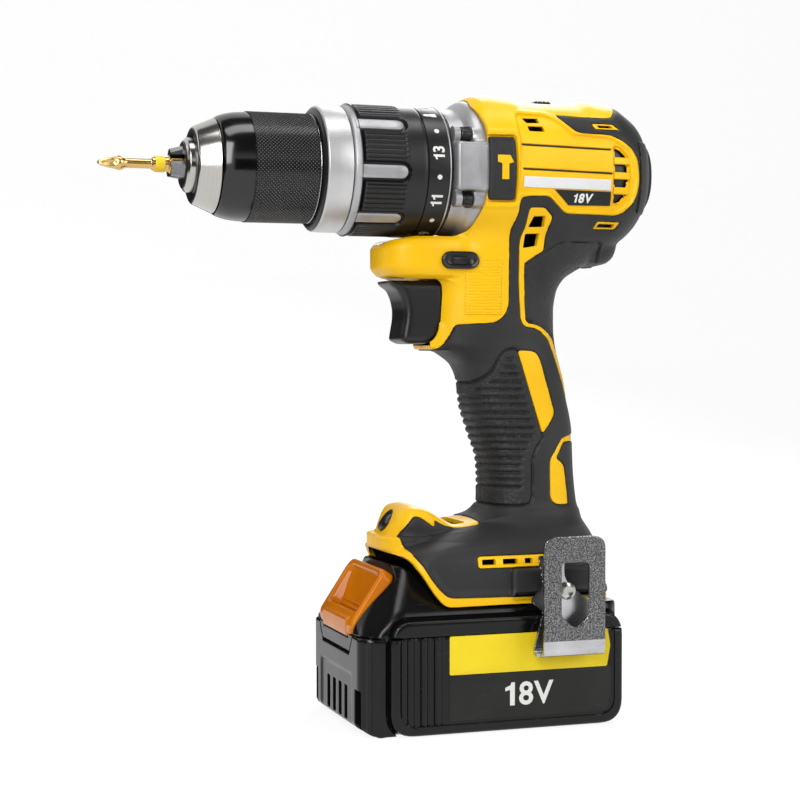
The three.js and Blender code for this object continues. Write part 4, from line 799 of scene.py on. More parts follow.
# The lighter second colour on the knurl's peaks is a painted highlight.
KNURL_BLACK = moulded("knurled_black", (0.006, 0.006, 0.006), (0.004, 0.004, 0.004),
                      rough=0.24, grain=0.3, height=0.002, scuffs=0.1, shine=0.7, painted_highlight=(0.13, 0.13, 0.13))
AMBER = moulded("amber_plastic", (0.62, 0.185, 0.0005), (0.52, 0.14, 0.0005),
                rough=0.16, grain=0.5, height=0.002, scuffs=0.15, shine=0.22)
BAND = moulded("band_yellow", (0.80, 0.58, 0.015), (0.72, 0.48, 0.010),
               rough=0.38, grain=0.3, height=0.006, scuffs=0.2)
LABEL_YELLOW = moulded("label_lemon", (0.86, 0.66, 0.015), (0.80, 0.60, 0.012),
                       rough=0.45, grain=0.12, height=0.002, scuffs=0.1, shine=0.3)
LABEL_BLACK = moulded("label_black", (0.014, 0.014, 0.012), (0.009, 0.009, 0.008),
                      rough=0.42, grain=0.12, height=0.002, scuffs=0.2, shine=0.3)
LABEL_WHITE = moulded("label_white", (0.74, 0.74, 0.74), (0.66, 0.66, 0.67),
                      rough=0.45, grain=0.12, height=0.002, scuffs=0.3, shine=0.3)
INK = moulded("printed_white", (0.80, 0.80, 0.78), (0.66, 0.66, 0.64),
              rough=0.5, grain=0.1, height=0.004, scuffs=0.5)
CAST = metallic("cast_aluminium", (0.48, 0.48, 0.49), (0.30, 0.30, 0.31),
                rough=0.42, pitch=0.4, sand=0.035, grain=0.5, scuffs=0.2, metal=0.75)
STEEL = metallic("bright_steel", (0.56, 0.545, 0.52), (0.42, 0.405, 0.38),
                 rough=0.17, pitch=0.16, lines=0.0004)
SPANGLED = metallic("plated_sheet", (0.34, 0.34, 0.34), (0.07, 0.07, 0.074),
                    rough=0.26, pitch=0.3, sand=0.010, grain=0.26, scuffs=0.4, flecks=True)
# A lighter, unflecked copy of the plating for the bend and the inner leg; on the leg, which sits in shade,
# it is painted light.
BEND_AND_PAINTED_LIT_LEG = metallic("plated_bend_and_painted_lit_leg", (0.62, 0.62, 0.64), (0.42, 0.42, 0.44),
                       rough=0.24, pitch=0.3, sand=0.004, grain=0.6, scuffs=0.4)
DARK_STEEL = metallic("dark_steel", (0.05, 0.048, 0.046), (0.03, 0.03, 0.03),
                      rough=0.36, pitch=0.3, lines=0.0006)
JAW_STEEL = metallic("jaw_steel", (0.26, 0.26, 0.27), (0.16, 0.16, 0.17),
                     rough=0.28, pitch=0.3, lines=0.0004)
SATIN = metallic("plated_steel", (0.66, 0.66, 0.66), (0.50, 0.50, 0.50),
                 rough=0.40, pitch=0.3, sand=0.012, metal=0.85)
GOLD = metallic("gold_steel", (0.74, 0.50, 0.20), (0.58, 0.37, 0.13), rough=0.22, pitch=0.2, lines=0.0003)
print("finishes:", len(bpy.data.materials))

# %% [markdown]
# ## The body's form
# The motor housing, the handle and the foot are one flowing shape. Along each of them a table
# gives the front, the back and the half width at some places, and a superellipse, a rounded
# rectangle written as one formula, joins them. Smooth unions melt the parts into one another.

# %% The field of the whole body
BARREL = [  # x, half width, up from the axis, down from the axis
    [-3, 28.6, 26.6, 26.4], [1, 29.6, 29.4, 27.8], [6, 30.0, 29.9, 29], [13, 30.2, 29.6, 29.8],
    [18, 30.2, 28.1, 30], [34, 30.2, 27.8, 30], [41, 30.2, 28.0, 30], [47, 30.2, 29.3, 30],
    [53, 30.1, 28.9, 29.6], [57, 29.4, 27.8, 28.6], [61, 28.0, 25.4, 26.6], [65.2, 25.2, 22.4, 23.2],
    [68.6, 20.6, 18.4, 18.8], [71.2, 15.5, 13.6, 13.2]]
HANDLE = [  # z, front, back, half width
    [60, -26, 49.4, 30], [66, -20, 49.2, 28.6], [70.5, -10, 48.4, 25.6], [74.5, -1.6, 47.2, 22],
    [79, 5.2, 45.8, 18.8], [84, 7.5, 44.8, 17.2], [98, 7.0, 43.6, 16.5], [110, 3.1, 43.2, 16.5],
    [121, -0.3, 41.4, 16.7], [130, -1.2, 40.0, 17], [136, -3.6, 38.4, 17.3], [141, -10, 37.1, 17.4],
    [144.5, -15.6, 36.5, 17.4], [150, -15.4, 35.9, 17.6], [157, -15, 35.8, 17.8], [164, -14.5, 36.8, 18.2],
    [169.5, -15, 40, 18.8], [172.5, -15, 44.4, 19.4], [176, -14, 50.4, 20.2], [182, -12, 54, 21.2],
    [190, -10, 54, 21.6]]
CHIN = [  # z, front, back, half width of the block over the trigger
    [168.9, -30.5, 2, 13.2], [170.5, -34.0, 2, 15.6], [174, -36.2, 2, 16.6], [180, -36.2, 2, 16.8],
    [183.4, -33.6, 2, 16], [184.9, -29, 2, 14.4]]
FOOT = [  # z, front, back, half width
    [45, -38, 50.6, 34.4], [57, -36.5, 50.6, 34.4], [62, -35, 50.2, 34], [66, -33.2, 49.4, 32.4],
    [69.5, -27, 48.2, 28.6], [73, -18, 46, 22.5], [76, -8, 43, 15]]
LIP = [  # z, front, back, half width of the lip under the lamp's housing
    [64.0, -33, 4, 15], [65.4, -35.8, 4, 17.8], [67.2, -36.9, 4, 18.7], [70.6, -36.9, 4, 18.7],
    [71.4, -36.2, 4, 18.0]]
NOSE = [  # z, front, back, half width of the lamp's housing
    [68.6, -35.0, 4, 16.6], [72.9, -33.6, 4, 16.4], [75.6, -32.3, -8, 16.2], [78.2, -31.0, -13, 15.8],
    [80.4, -29.6, -16.5, 14.8], [81.8, -28.0, -19.5, 12.8], [82.7, -25.6, -22.5, 8]]
KNOB = [  # z, front, back, half width of the swelling at the back, over the hand
    [174.6, 40, 53, 7], [176.2, 40, 58.6, 10.6], [179, 40, 61.4, 12.4], [183, 40, 62.6, 13],
    [188, 40, 63, 13]]
GUARD = (-17.4, -1, 141.9), (-6, 11.0, 152)  # corners of the strip under the trigger
FOOT_SIDE = (5.8, 20, 48.6), (41, 36.4, 61.0)  # corners of the flat on each side of the foot


def upright(table, x, y, z, power):
    """Field of a superellipse section whose front, back and half width follow a table along z."""
    front, back, half = ease(table, z)
    across = ring(x - (front + back) / 2, y, (back - front) / 2, half, power)
    return np.maximum(across, np.maximum(table[0][0] - z, z - table[-1][0]))


def barrel(x, y, z):
    """Field of the motor housing: sections across the axis, taller above it than below."""
    half, up, down = ease(BARREL, x)
    v = z - AXIS
    across = ring(y, v, half, np.where(v > 0, up, down), 2.35)
    return np.maximum(across, np.maximum(BARREL[0][0] - x, x - BARREL[-1][0]))


def form(x, y, z):
    """Field of the body without its details: motor housing, handle, chin, foot and nose."""
    whole = join(barrel(x, y, z), upright(HANDLE, x, y, z, 2.6), 5)
    whole = join(whole, upright(CHIN, x, y, z, 3.0), 3)
    whole = join(whole, slab(x, np.abs(y), z, *GUARD, 1.8), 1.5)
    whole = join(whole, upright(KNOB, x, y, z, 2.4), 1.4)
    foot = join(upright(FOOT, x, y, z, 6 - 2.8 * np.clip((z - 64) / 6, 0, 1)), whole, 6)
    foot = join(foot, slab(x, np.abs(y), z, *FOOT_SIDE, 2.2), 0.8)
    nose = join(upright(NOSE, x, y, z, 3.4), upright(LIP, x, y, z, 3.6), 0.5)
    return join(foot, nose, 3.0)


def side(x, z, reach=40.0):
    """Half width of the body at (x, z), found by halving the range where the field changes sign."""
    x, z = np.asarray(x, float), np.asarray(z, float)
    low, high = np.zeros_like(x), np.full_like(x, reach)
    for _ in range(26):
        middle = (low + high) / 2
        hit = form(x, -middle, z) < 0
        low, high = np.where(hit, middle, low), np.where(hit, high, middle)
    return low


def wrapped(points):
    """Moves points (x, z, height) onto the left side of the body: y = -(side + height)."""
    x, z, height = np.asarray(points, float).T
    return np.stack([x, -(side(x, z) + height), z], 1)


print("half width of the housing by the badge:", side([3.0], [210.0]).round(2), "mm")

# %% [markdown]
# ## Where yellow meets rubber
# The housing is moulded twice: hard yellow plastic first, then charcoal rubber over the handle,
# the foot and the rear. Seen from the side, the edge between them is a line, so the two skins are
# cut from the same form by a signed distance from these outlines. The yellow islands inside the
# rubber are the vent frame with its long stripe, and two inlays in the handle.

# %% Outlines of the two materials, as (x, z)
DARK = [
    (29.1, 231.3), (37, 231), (48.2, 230.7), (51.7, 231), (57.9, 237.2), (58, 248), (95, 248), (95, 20),
    (52, 49), (43.7, 49.3), (12.4, 49.8), (-17.2, 50.2), (-19.4, 51.1), (-22, 53.5), (-25, 57.4),
    (-27.7, 62.2), (-29.8, 65.1), (-30.2, 67.6), (-31.8, 71.3), (-25.7, 79.3), (-23.6, 79), (-17.6, 74.9),
    (-17.6, 90), (-30, 100), (-30, 141.4), (-17.5, 141.6), (-14.0, 142.6),
    (-12.2, 144.4), (-10.4, 147.6), (-9.0, 150.8), (-8.1, 151.6), (-1.6, 151.9), (6.2, 152.4), (8.9, 154),
    (10.9, 156.5), (11.8, 160.3), (11.4, 170), (10.8, 179.2), (10.5, 185.4), (10.6, 188.4), (11.6, 190.9),
    (12.2, 193.9), (12, 196.3), (12.1, 198.1), (13, 199.3), (15.6, 199.8), (23.1, 199.9), (24.5, 199.1),
    (29.7, 194.7), (31.7, 193.6), (41.4, 193.5), (52, 193.3), (55.4, 194.6), (58.8, 197.6), (60.8, 201.4),
    (61.7, 205.3), (61.6, 211.6), (60.8, 215.4), (58.1, 218.8), (54.4, 221.5), (49.8, 223.6), (43.6, 224),
    (37.2, 224.1), (35.3, 224.8), (32.7, 227), (29.6, 230.1)]
VENT_FRAME = [
    (16.5, 195.5), (22, 195.6), (23.1, 195), (26.1, 192.4), (26.2, 191.2), (25.1, 186.9), (24.9, 184.1),
    (24.9, 181.3), (24.5, 179.7), (17.8, 175.4), (17.3, 174.6), (18, 166.7), (18.8, 153.4), (20.1, 152.1),
    (23.2, 151.7), (26.4, 150.6), (30, 148.3), (32.7, 145.8), (34.9, 141.1), (36.6, 135.2), (39.6, 126.6),
    (44, 117), (44, 114), (40.8, 119.2), (37.2, 127.5), (34.6, 134.1), (32.4, 140.6), (30, 145.8),
    (25.6, 149.3), (22.4, 150.5), (19.4, 150.7), (17.9, 151.8), (16.8, 154), (15.6, 168), (15, 176.1),
    (14.7, 182.4), (15.1, 185.5), (16, 187.9), (16.2, 194)]
INLAY = [
    (15.7, 141.7), (21.6, 141.6), (23.8, 140.6), (25.2, 138.1), (31.7, 118.1), (31.2, 116.1),
    (26.5, 109.5)]
LOW_INLAY = [
    (46, 108.7), (38.6, 108.7), (35.2, 107.7), (30, 100.1), (29.6, 97.5), (29.5, 85.3), (30.3, 83.4),
    (32.5, 82.3), (37.6, 82.2), (37.4, 86.3), (36.3, 96), (35.4, 98), (32.4, 100), (36, 106.3), (46, 106.4)]
SLOT_FRAMES = [
    [(42.6, 228.2), (51.3, 228.1), (53.7, 226), (43.7, 226)],
    [(45.2, 191), (55, 190.9), (53.5, 188.3), (44.2, 188.2)]]
FOOT_VENT_FRAME = [(-6.6, 61), (-6.6, 64.6), (-5.6, 65.1), (20.6, 65.1), (20.6, 61)]
RUBBER_EDGE = rounded(DARK, 1.2, 4)
ISLANDS = [rounded(VENT_FRAME, 0.8, 3), rounded(INLAY, 1.6), rounded(LOW_INLAY, 1.0, 3),
           rounded(SLOT_FRAMES[0], 0.5, 3), rounded(SLOT_FRAMES[1], 0.5, 3),
           rounded(FOOT_VENT_FRAME, 0.8, 3)]


def dark_side(x, z):
    """Signed distance from the rubber seen from the side: negative on rubber."""
    edge = inside(x, z, RUBBER_EDGE)
    for island in ISLANDS:
        edge = np.maximum(edge, -inside(x, z, island))
    return edge


FROM, TO = (-44, 43), (76, 244)
dark_edge = side_map(dark_side, FROM, TO)
print("outline of the rubber:", len(RUBBER_EDGE), "points, islands:", len(ISLANDS))

# %% [markdown]
# ## Openings and relief
# Air goes in through small windows behind and out by the handle. They are cut right through the
# wall, so their yellow walls and the dark inside show. Shallow relief, such as grip grooves and
# recesses, is added to the field as a depth in millimetres, which moves the surface in or out.

# %% Windows and reliefs
WINDOWS = [
    [(18.6, 192.5), (23.3, 192.6), (23.6, 188.6), (17.1, 188.4)],  # behind the badge
    [(16.5, 186), (22.3, 186.2), (21.8, 181.6), (16.2, 180.6)],
    [(14.3, 229.3), (21.2, 229.6), (21.6, 227.6), (15.9, 227.4)],  # high on the motor housing
    [(15.9, 226.2), (22.4, 226.3), (22.9, 224.2), (16.4, 224.2)],
    [(51.1, 218.9), (53.2, 218.2), (55.6, 215.4), (56.2, 210), (55.8, 202.4), (53.8, 198.7),  # rear
     (51.1, 197.9)],
    [(44.4, 227.6), (50.1, 227.6), (51.5, 226.5), (45.0, 226.5)],
    [(46.1, 190.3), (53, 190.2), (52.3, 188.9), (45.0, 188.9)],
    [(-5.2, 62), (-5.2, 64.1), (0.3, 64.1), (0.3, 62)],  # in the foot
    [(3.1, 62), (3.1, 64.1), (9, 64.1), (9, 62)],
    [(11.9, 62), (11.9, 64.1), (15, 64.1), (15, 62)]]
OPENINGS = [rounded(window, 0.45, 3) for window in WINDOWS]
BAR_POCKET = rounded([(50.2, 219.8), (53.4, 219.2), (57.2, 215.2), (57.8, 205.5), (56.6, 200.4),
                      (53.6, 197.2), (50.2, 196.8)], 1.2)
BADGE = rounded([(-0.9, 222.2), (10.2, 222.2), (10.6, 210), (10.2, 197.3), (-0.4, 197.3), (-1.0, 199)], 1.2)
PANEL = rounded([(11.3, 200.8), (24, 201.4), (30.8, 195.4), (52, 194.8), (58.6, 199), (60.2, 208), (57, 218),
                 (49, 222.6), (34, 223.4), (28.2, 229.2), (24.0, 231.0), (12.0, 231.0)], 1.5)
LONG_GROOVES = [[(12.7, 218.9), (49.1, 218.2)], [(13.1, 209.8), (49.5, 209.1)]]
GRIP_RIDGES = [  # z, front end and rear end of each ridge
    [89.2, 8.9, 18.7], [92, 8.9, 18.8], [94.7, 8.5, 18.8], [97.5, 8.1, 18.8], [100.5, 7.4, 19.5],
    [103.3, 6.5, 20.3], [106.1, 5.6, 21.7], [109, 4.3, 23.6], [112, 3.4, 23.9], [115, 2.4, 22.9],
    [118, 1.7, 22.1], [121, 0.9, 21.2], [123.9, 0.3, 20.1], [126.8, 0.2, 19.2], [129.8, 4.9, 18.3],
    [132.6, 7.5, 17.2], [135.5, 9.2, 16.3], [138.4, 9.8, 15.1]]
GRIP = rounded([(-12, 128.5), (0.6, 129.7), (3.2, 131.4), (5.8, 134), (7.3, 137.5), (9.1, 140.7),
                (11.1, 142.2), (15.2, 142.9), (20.9, 128.9), (26.4, 109.5), (26.5, 107.6), (24.6, 105.4),
                (22.9, 102.2), (22.2, 99), (21.9, 84.9), (21, 83), (18.9, 82.2), (-12, 81.9)], 1.5)
BACK_PANEL = rounded([(17.8, 174.4), (24.7, 178.8), (31.4, 183), (40.2, 183.6), (50.4, 183.9),
                      (51.4, 182), (51.4, 150), (60, 140), (60, 112), (44.5, 114), (39.6, 127.5),
                      (36.0, 137), (33.2, 146.6), (27, 151.2), (19.4, 153.6)], 1.5)
FOOT_PANEL = rounded([(-24.8, 61.2), (-21.3, 64.9), (-16.8, 67.2), (-8.8, 67.6), (19.2, 67.4), (60, 66),
                      (60, 52), (-18, 52), (-21, 55)], 2)


def bump_in(distance, width):
    """1 on a line, falling to 0 at width away from it, in a smooth hump."""
    return np.clip(1 - (distance / width) ** 2, 0, None) ** 2


def shelf(distance, width=0.8):
    """1 inside an outline, 0 outside, with an S-shaped edge of the given width."""
    t = np.clip(0.5 - distance / width, 0, 1)
    return t * t * (3 - 2 * t)


def rubber_relief(x, z):
    """Depth in mm of the grooves in the rubber: grip edge and ridges, back panel and foot crease."""
    depth = 0.75 * bump_in(inside(x, z, GRIP), 0.9)
    front, rear = ease(GRIP_RIDGES, z)
    front = front - np.where(z < 125, 30, 0)  # the lower ridges run round to the front
    nearest = np.min([np.abs(z - ridge[0]) for ridge in GRIP_RIDGES], axis=0)
    reach = np.clip((x - front) / 1.5, 0, 1) * np.clip((rear - x) / 1.5, 0, 1)
    depth = depth + 0.75 * bump_in(nearest, 1.05) * reach * ((z > 87.5) & (z < 139.8))
    back = inside(x, z, BACK_PANEL)
    depth = depth + 0.5 * bump_in(back, 0.7) * (x < 54) + 0.45 * shelf(back, 1.0)
    return depth + 0.8 * shelf(inside(x, z, FOOT_PANEL), 3.2)


def yellow_relief(x, z):
    """Depth in mm on the yellow: label panel, long grooves, bar pocket and badge recess."""
    panel, badge = inside(x, z, PANEL), inside(x, z, BADGE)
    depth = 0.8 * shelf(panel, 0.9) - 0.3 * bump_in(panel - 1.1, 1.2)
    for line in LONG_GROOVES:
        depth = depth + 0.75 * bump_in(near_line(x, z, line), 0.65)
    depth = depth + 1.1 * shelf(inside(x, z, BAR_POCKET), 0.7)
    return depth + 1.3 * shelf(badge, 0.5) - 0.35 * bump_in(badge - 1.6, 1.3)


def windows(x, z):
    """Signed distance from the nearest air window."""
    return np.min([inside(x, z, opening) for opening in OPENINGS], axis=0)


rubber_depth, yellow_depth = side_map(rubber_relief, FROM, TO), side_map(yellow_relief, FROM, TO)
window_edge = side_map(windows, FROM, TO)
print("windows:", len(OPENINGS), "grip ridges:", len(GRIP_RIDGES))

# %% [markdown]
# ## The two skins
# Both skins are shells of one wall thickness, closed at the parting line in the middle of the
# drill. The rubber stands three tenths of a millimetre proud, with soft edges. The trigger's
# slot, the lamp's hole and the seat round the gearcase are cut out. The right half is the left
# one mirrored, with its faces turned back outwards.

# %% Seat, trigger slot and lamp hole
HALF = 0.15  # half of the gap at the parting line
WALL = 2.4  # thickness of the yellow shell
SEAT_X, SEAT_R = 3.0, 28.1  # depth and radius of the gearcase's seat
FRONT_EDGE = [[187, -40], [189, -6.8], [190, -3.7], [194, -1.9], [198.5, -0.8], [206, -0.5], [217, -0.5],
              [225, -0.6], [228, -1.2], [232, -2.2], [236.5, -3.4], [240, -4]]
PACK_ROOM = rounded([(-60, 66.5), (-38.5, 66.4), (-34, 65.1), (-32.3, 65), (-30.9, 63.6), (-29.3, 60.8),
                     (-26.5, 56.4), (-23.5, 51.5), (-20.1, 47.6), (-17.5, 46.9), (13.1, 47.1), (60, 46.6),
                     (60, 30), (-60, 30)], 2, 3)
pack_edge = side_map(lambda x, z: inside(x, z, PACK_ROOM), FROM, TO)
TRIGGER_TRAVEL = 7.4  # a little more than the trigger moves
SLOT_HALF, SIDE_HALF = 9.8, 14.0  # half widths of the trigger's slot and of the opening in front of it
THROAT_SIDE = rounded([(-50, 143.6), (-13.6, 143.6), (-13.6, 167.0), (-50, 167.0)], 9.5, 9)
THROAT = rounded([(-50, 143.6), (-9.6, 143.6), (-9.6, 169.4), (-50, 169.4)], 9, 9)


def throat(x, y, z):
    """Room for the trigger: an opening under the chin, and a slot behind it as deep as its travel."""
    opening = np.maximum(inside(x, z, THROAT_SIDE), np.abs(y) - SIDE_HALF)
    slot = np.minimum(inside(x, z, THROAT), inside(x - TRIGGER_TRAVEL, z, THROAT))
    return np.minimum(opening, np.maximum(slot, np.abs(y) - SLOT_HALF))


LAMP_AT = np.array([-31.6, 0, 76.7])
LAMP_TILT = np.radians(36)
LAMP_FACING = np.array([-np.cos(LAMP_TILT), 0, np.sin(LAMP_TILT)])


def lamp_seat(x, y, z):
    """A round hole along the lamp's own axis, a little wider at its mouth."""
    along = (x - LAMP_AT[0]) * LAMP_FACING[0] + (z - LAMP_AT[2]) * LAMP_FACING[2]
    across = (x - LAMP_AT[0]) * LAMP_FACING[2] - (z - LAMP_AT[2]) * LAMP_FACING[0]
    return np.maximum(np.sqrt(across ** 2 + y * y) - 4.5 - 0.1 * along, -1.2 - along)


def top_frame(x, y, z):
    """The yellow frame on top of the foot, seen from above: a rectangle behind the nose."""
    return np.maximum(slab(x, y, z, (-40, -15.4, 71), (0.8, 15.4, 90), 1.5), -19.6 - x)


# %% Yellow shell and rubber overmould
TOP_WINDOW = (-16.4, -11.6, 68), (-3.4, 11.6, 90)  # opening behind the nose


def yellow_field(x, y, z):
    """The yellow shell: the form, less the rubber's outline, with its relief, walls and openings."""
    body = form(x, y, z)
    skin = body + yellow_depth(x, z)
    shell = both_of(skin, np.minimum(-dark_edge(x, z), top_frame(x, y, z)), 0.5)
    shell = np.maximum(shell, -(body + WALL))
    shell = np.maximum(shell, -window_edge(x, z))
    seat = np.sqrt(y * y + (z - AXIS) ** 2) - SEAT_R
    shell = np.maximum(shell, -np.maximum(seat, x - SEAT_X))
    shell = both_of(shell, np.maximum(ease(FRONT_EDGE, z)[0] - x, -pack_edge(x, z)), 0.5)
    shell = np.maximum(shell, -throat(x, y, z))
    shell = without(shell, lamp_seat(x, y, z), 0.4)
    shell = np.maximum(shell, -slab(x, y, z, *TOP_WINDOW, 1.0))
    return np.maximum(shell, y + HALF)


def rubber_field(x, y, z):
    """The rubber skin: three tenths proud of the form inside the rubber's outline.

    The form's field rises steeply over the foot, so the wall is given more depth there.
    """
    body = form(x, y, z)
    skin = body - 0.3 + rubber_depth(x, z)
    shell = both_of(skin, np.maximum(dark_edge(x, z), -top_frame(x, y, z)) + 0.12, 0.9)
    wall = 1.9 + 5.0 * np.clip(np.minimum(z - 66, 80 - z) / 3, 0, 1)
    shell = np.maximum(shell, -(body + wall))
    shell = np.maximum(shell, -window_edge(x, z))
    shell = np.maximum(shell, -throat(x, y, z))
    return np.maximum(shell, y + HALF)


def stippled(points):
    """1 where the rubber has its coarse texture: the grip and the back of the handle."""
    x, y, z = points.T
    area = np.minimum(inside(x, z, GRIP), inside(x, z, BACK_PANEL))
    return np.clip(-area / 0.8, 0, 1)


points, quads = contour(yellow_field, (-40, -36, 44), (64, 0.6, 243), 0.6)
pair("yellow_shell", points, quads, YELLOW, "tool", ["housing_left", "housing_right"], 35)
print("yellow shell:", len(quads), "faces a side")
points, quads = contour(rubber_field, (-36, -36.5, 46), (74, 0.6, 242), 0.65)
pair("rubber", points, quads, RUBBER, "tool", ["grip_left", "grip_right"], 35,
     {"stipple": stippled(points)})
print("rubber:", len(quads), "faces a side")

# %% [markdown]
# ## Bit and jaws
# The screwdriver bit is turned and ground from one hexagon bar and plated gold. Its cross-shaped
# tip is a cone with four flutes, so its radius is a function of the place along the axis and the
# angle round it; the shank is a hexagon, which is the same thing written with a cosine.

# %% Screwdriver bit
BIT_FROM, BIT_SHANK, BIT_TO = -141.7, -115.6, -92.0
HEX_HALF = 3.1


def bit_radius(x, r, angle):
    """Radius of the bit: flutes cut into the tip, and a hexagon along the shank."""
    flute = np.abs(np.cos(2 * angle)) ** 1.6
    depth = ease([[-141.7, 0.15], [-139, 0.34], [-136, 0.30], [-133.9, 0.0], [-90, 0.0]], x)[0]
    tip = r * (1 - depth * flute)
    flat = HEX_HALF / np.cos((angle + np.pi / 6) % (np.pi / 3) - np.pi / 6)
    chamfer = HEX_HALF + np.clip(x - BIT_SHANK, 0, 1)
    return np.where(x > BIT_SHANK, np.minimum(np.minimum(flat, 3.45), chamfer), tip)


tip_rows = ease([[0, BIT_FROM, 0.35], [0.08, -141.3, 0.85], [0.3, -139.4, 1.70], [0.6, -136.8, 2.42],
                 [0.85, -134.9, 2.68], [1.0, -133.6, 2.66]], np.linspace(0, 1, 30))
neck = [(-133.0, 2.55), (-132.3, 2.2), (-131.6, 1.88), (-131.0, 1.80), (-122.6, 1.80), (-122.1, 1.95),
        (-121.6, 2.50), (-121.2, 2.58), (-117.0, 2.58), (-116.5, 2.75), (-115.8, 2.75), (-115.5, 3.0),
        (-115.1, 3.4), (-114.6, 3.45), (-104, 3.45), (BIT_TO, 3.45)]
profile = [(BIT_FROM, 0)] + list(zip(*tip_rows)) + neck + [(BIT_TO, 0)]
lathed("screwdriver_bit", profile, 96, GOLD, "bit", ["driver_bit"], 25, bit_radius, False)
band = fillet([(-120.8, 2.2), (-120.8, 3.0), (-117.2, 3.0), (-117.2, 2.2)], 0.3)
lathed("bit_ring", band, 64, BAND, "bit", ["bit_band"], 40)
CHUCK_FRONT = -110.5
print("bit:", round(CHUCK_FRONT - BIT_FROM, 1), "mm in front of the chuck")

# %% [markdown]
# ## Chuck
# The nose and the cone are turned steel, with fine lathe marks and a bright polished edge. The
# sleeve is black: its front is glossy and its grip is rolled with a diamond knurl. A knurl is two
# families of spiral grooves, so the height is the smaller of two triangle waves that run round
# the sleeve in opposite directions.

# %% Nose, cone and knurled sleeve
nose = fillet([(-100, 4.2), (-109.9, 4.2), (CHUCK_FRONT, 5.2), (CHUCK_FRONT, 8.6), (-109.4, 10.1),
               (-104.8, 10.1), (-104.8, 11.6), (-99.5, 14.0), (-67, 14.0), (-67, 8.2), (-100, 8.2)], 0.35)
lathed("chuck_nose", nose, 120, STEEL, "spindle", ["chuck_body"], 30)
face_ring = fillet([(-110.55, 4.3), (-110.75, 5.0), (-110.75, 8.3), (-110.4, 8.9), (-110.2, 8.3),
                    (-110.2, 5)], 0.15, 3)
lathed("chuck_nose_face", face_ring, 96, DARK_STEEL, "spindle")
cone = fillet([(-107.2, 11.9), (-107.2, 13.8), (-106.8, 14.35), (-99.75, 17.35), (-99.35, 17.55),
               (-99.3, 16.6), (-99.3, 14.4), (-104.6, 12.0)], 0.25)
lathed("steel_cone", cone, 160, STEEL, "sleeve", ["chuck_nose_cone"], 30)
cone_face = fillet([(-107.35, 10.6), (-107.4, 11.2), (-107.4, 13.3), (-107.1, 13.9), (-106.9, 13.3),
                    (-106.9, 10.6)], 0.15, 3)
lathed("cone_face", cone_face, 120, DARK_STEEL, "sleeve")

KNURLS, SAMPLES = 92, 6  # diamonds round the grip, and points across each
KNURL_PITCH, KNURL_DEPTH = 1.4, 0.6
KNURL_FROM, KNURL_TO, KNURL_R = -87.2, -63.4, 20.6


def knurled(x, r, angle):
    """Radius of the grip: the smaller of two triangle waves gives a field of small pyramids."""
    turn, run = KNURLS * angle / (2 * np.pi), (x - KNURL_FROM) / KNURL_PITCH
    waves = [2 * np.abs((turn + way * run) % 1 - 0.5) for way in (1, -1)]
    height = 1 - np.maximum(*waves)
    return r - KNURL_DEPTH * (1 - np.clip(height * 1.3, 0, 1))


front = ease([[0, -99.0, 16.9], [0.1, -98.8, 17.7], [0.4, -96.6, 18.9], [0.75, -92.2, 19.9],
              [1, -87.9, 20.25]], np.linspace(0, 1, 26))
profile = ([(-97, 15.9), (-98.8, 15.9)] + list(zip(*front))
           + [(-87.6, 20.25), (-87.45, 20.0), (-87.25, 20.0), (-87.25, 15.9)])
lathed("sleeve_front", profile, 184, GLOSS_BLACK, "sleeve", ["chuck_sleeve"], 35)
rows = np.arange(KNURL_FROM, KNURL_TO + 0.01, KNURL_PITCH / SAMPLES)
inner_wall = [(-63.2, 20.2), (-63.2, 16.4), (-87.1, 16.4), (-87.15, 20.1)]
profile = [(x, KNURL_R) for x in rows] + inner_wall
points, faces, _ = turned(profile, KNURLS * SAMPLES, lambda x, r, angle: np.where(
    r == KNURL_R, knurled(x, r, angle), r), True)
out = np.hypot(points[:, 1], points[:, 2] - AXIS)
# The tops of the diamonds are marked for the lighter colour: a painted highlight.
painted_highlight = np.clip((out - KNURL_R + 0.3) / 0.3, 0, 1) ** 2 * (points[:, 0] < KNURL_TO)
piece("sleeve_grip", points, outward(points, faces), KNURL_BLACK, "sleeve", sharp=50,
      marks={"painted_highlight": painted_highlight})
rim = fillet([(-63.2, 17), (-63.2, 20.3), (-62.95, 20.5), (-62.75, 20.2), (-62.75, 17)], 0.1, 3)
lathed("sleeve_rim", rim, 144, STEEL, "sleeve")
print("knurl:", KNURLS, "diamonds round,", len(rows), "rows")

# %% [markdown]
# ## Torque collar
# The collar is moulded in black with eight ribbed pads. A satin ring in front of it sends eight
# fingers back between the pads, each in its own moat. In the unrolled sheet of the collar a
# finger is a line with a round end, so a distance from that line cuts both moat and finger.

# %% Collar with pads, moats and ribs
FINGERS, FIRST_FINGER = 8, np.radians(-5.7)
FINGER_STEP = 2 * np.pi / FINGERS
FINGER_TO, FINGER_HALF, FINGER_R = -33.4, 2.5, 24.75
UNROLLED_R, COLLAR_R = 24.6, 25.05  # radius the sheet is measured at, and the collar's own


def from_finger(x, angle):
    """Distance in mm, on the unrolled collar, from the nearest finger's middle line."""
    across = ((angle - FIRST_FINGER + FINGER_STEP / 2) % FINGER_STEP - FINGER_STEP / 2) * UNROLLED_R
    return np.hypot(across, np.clip(x - FINGER_TO, 0, None))


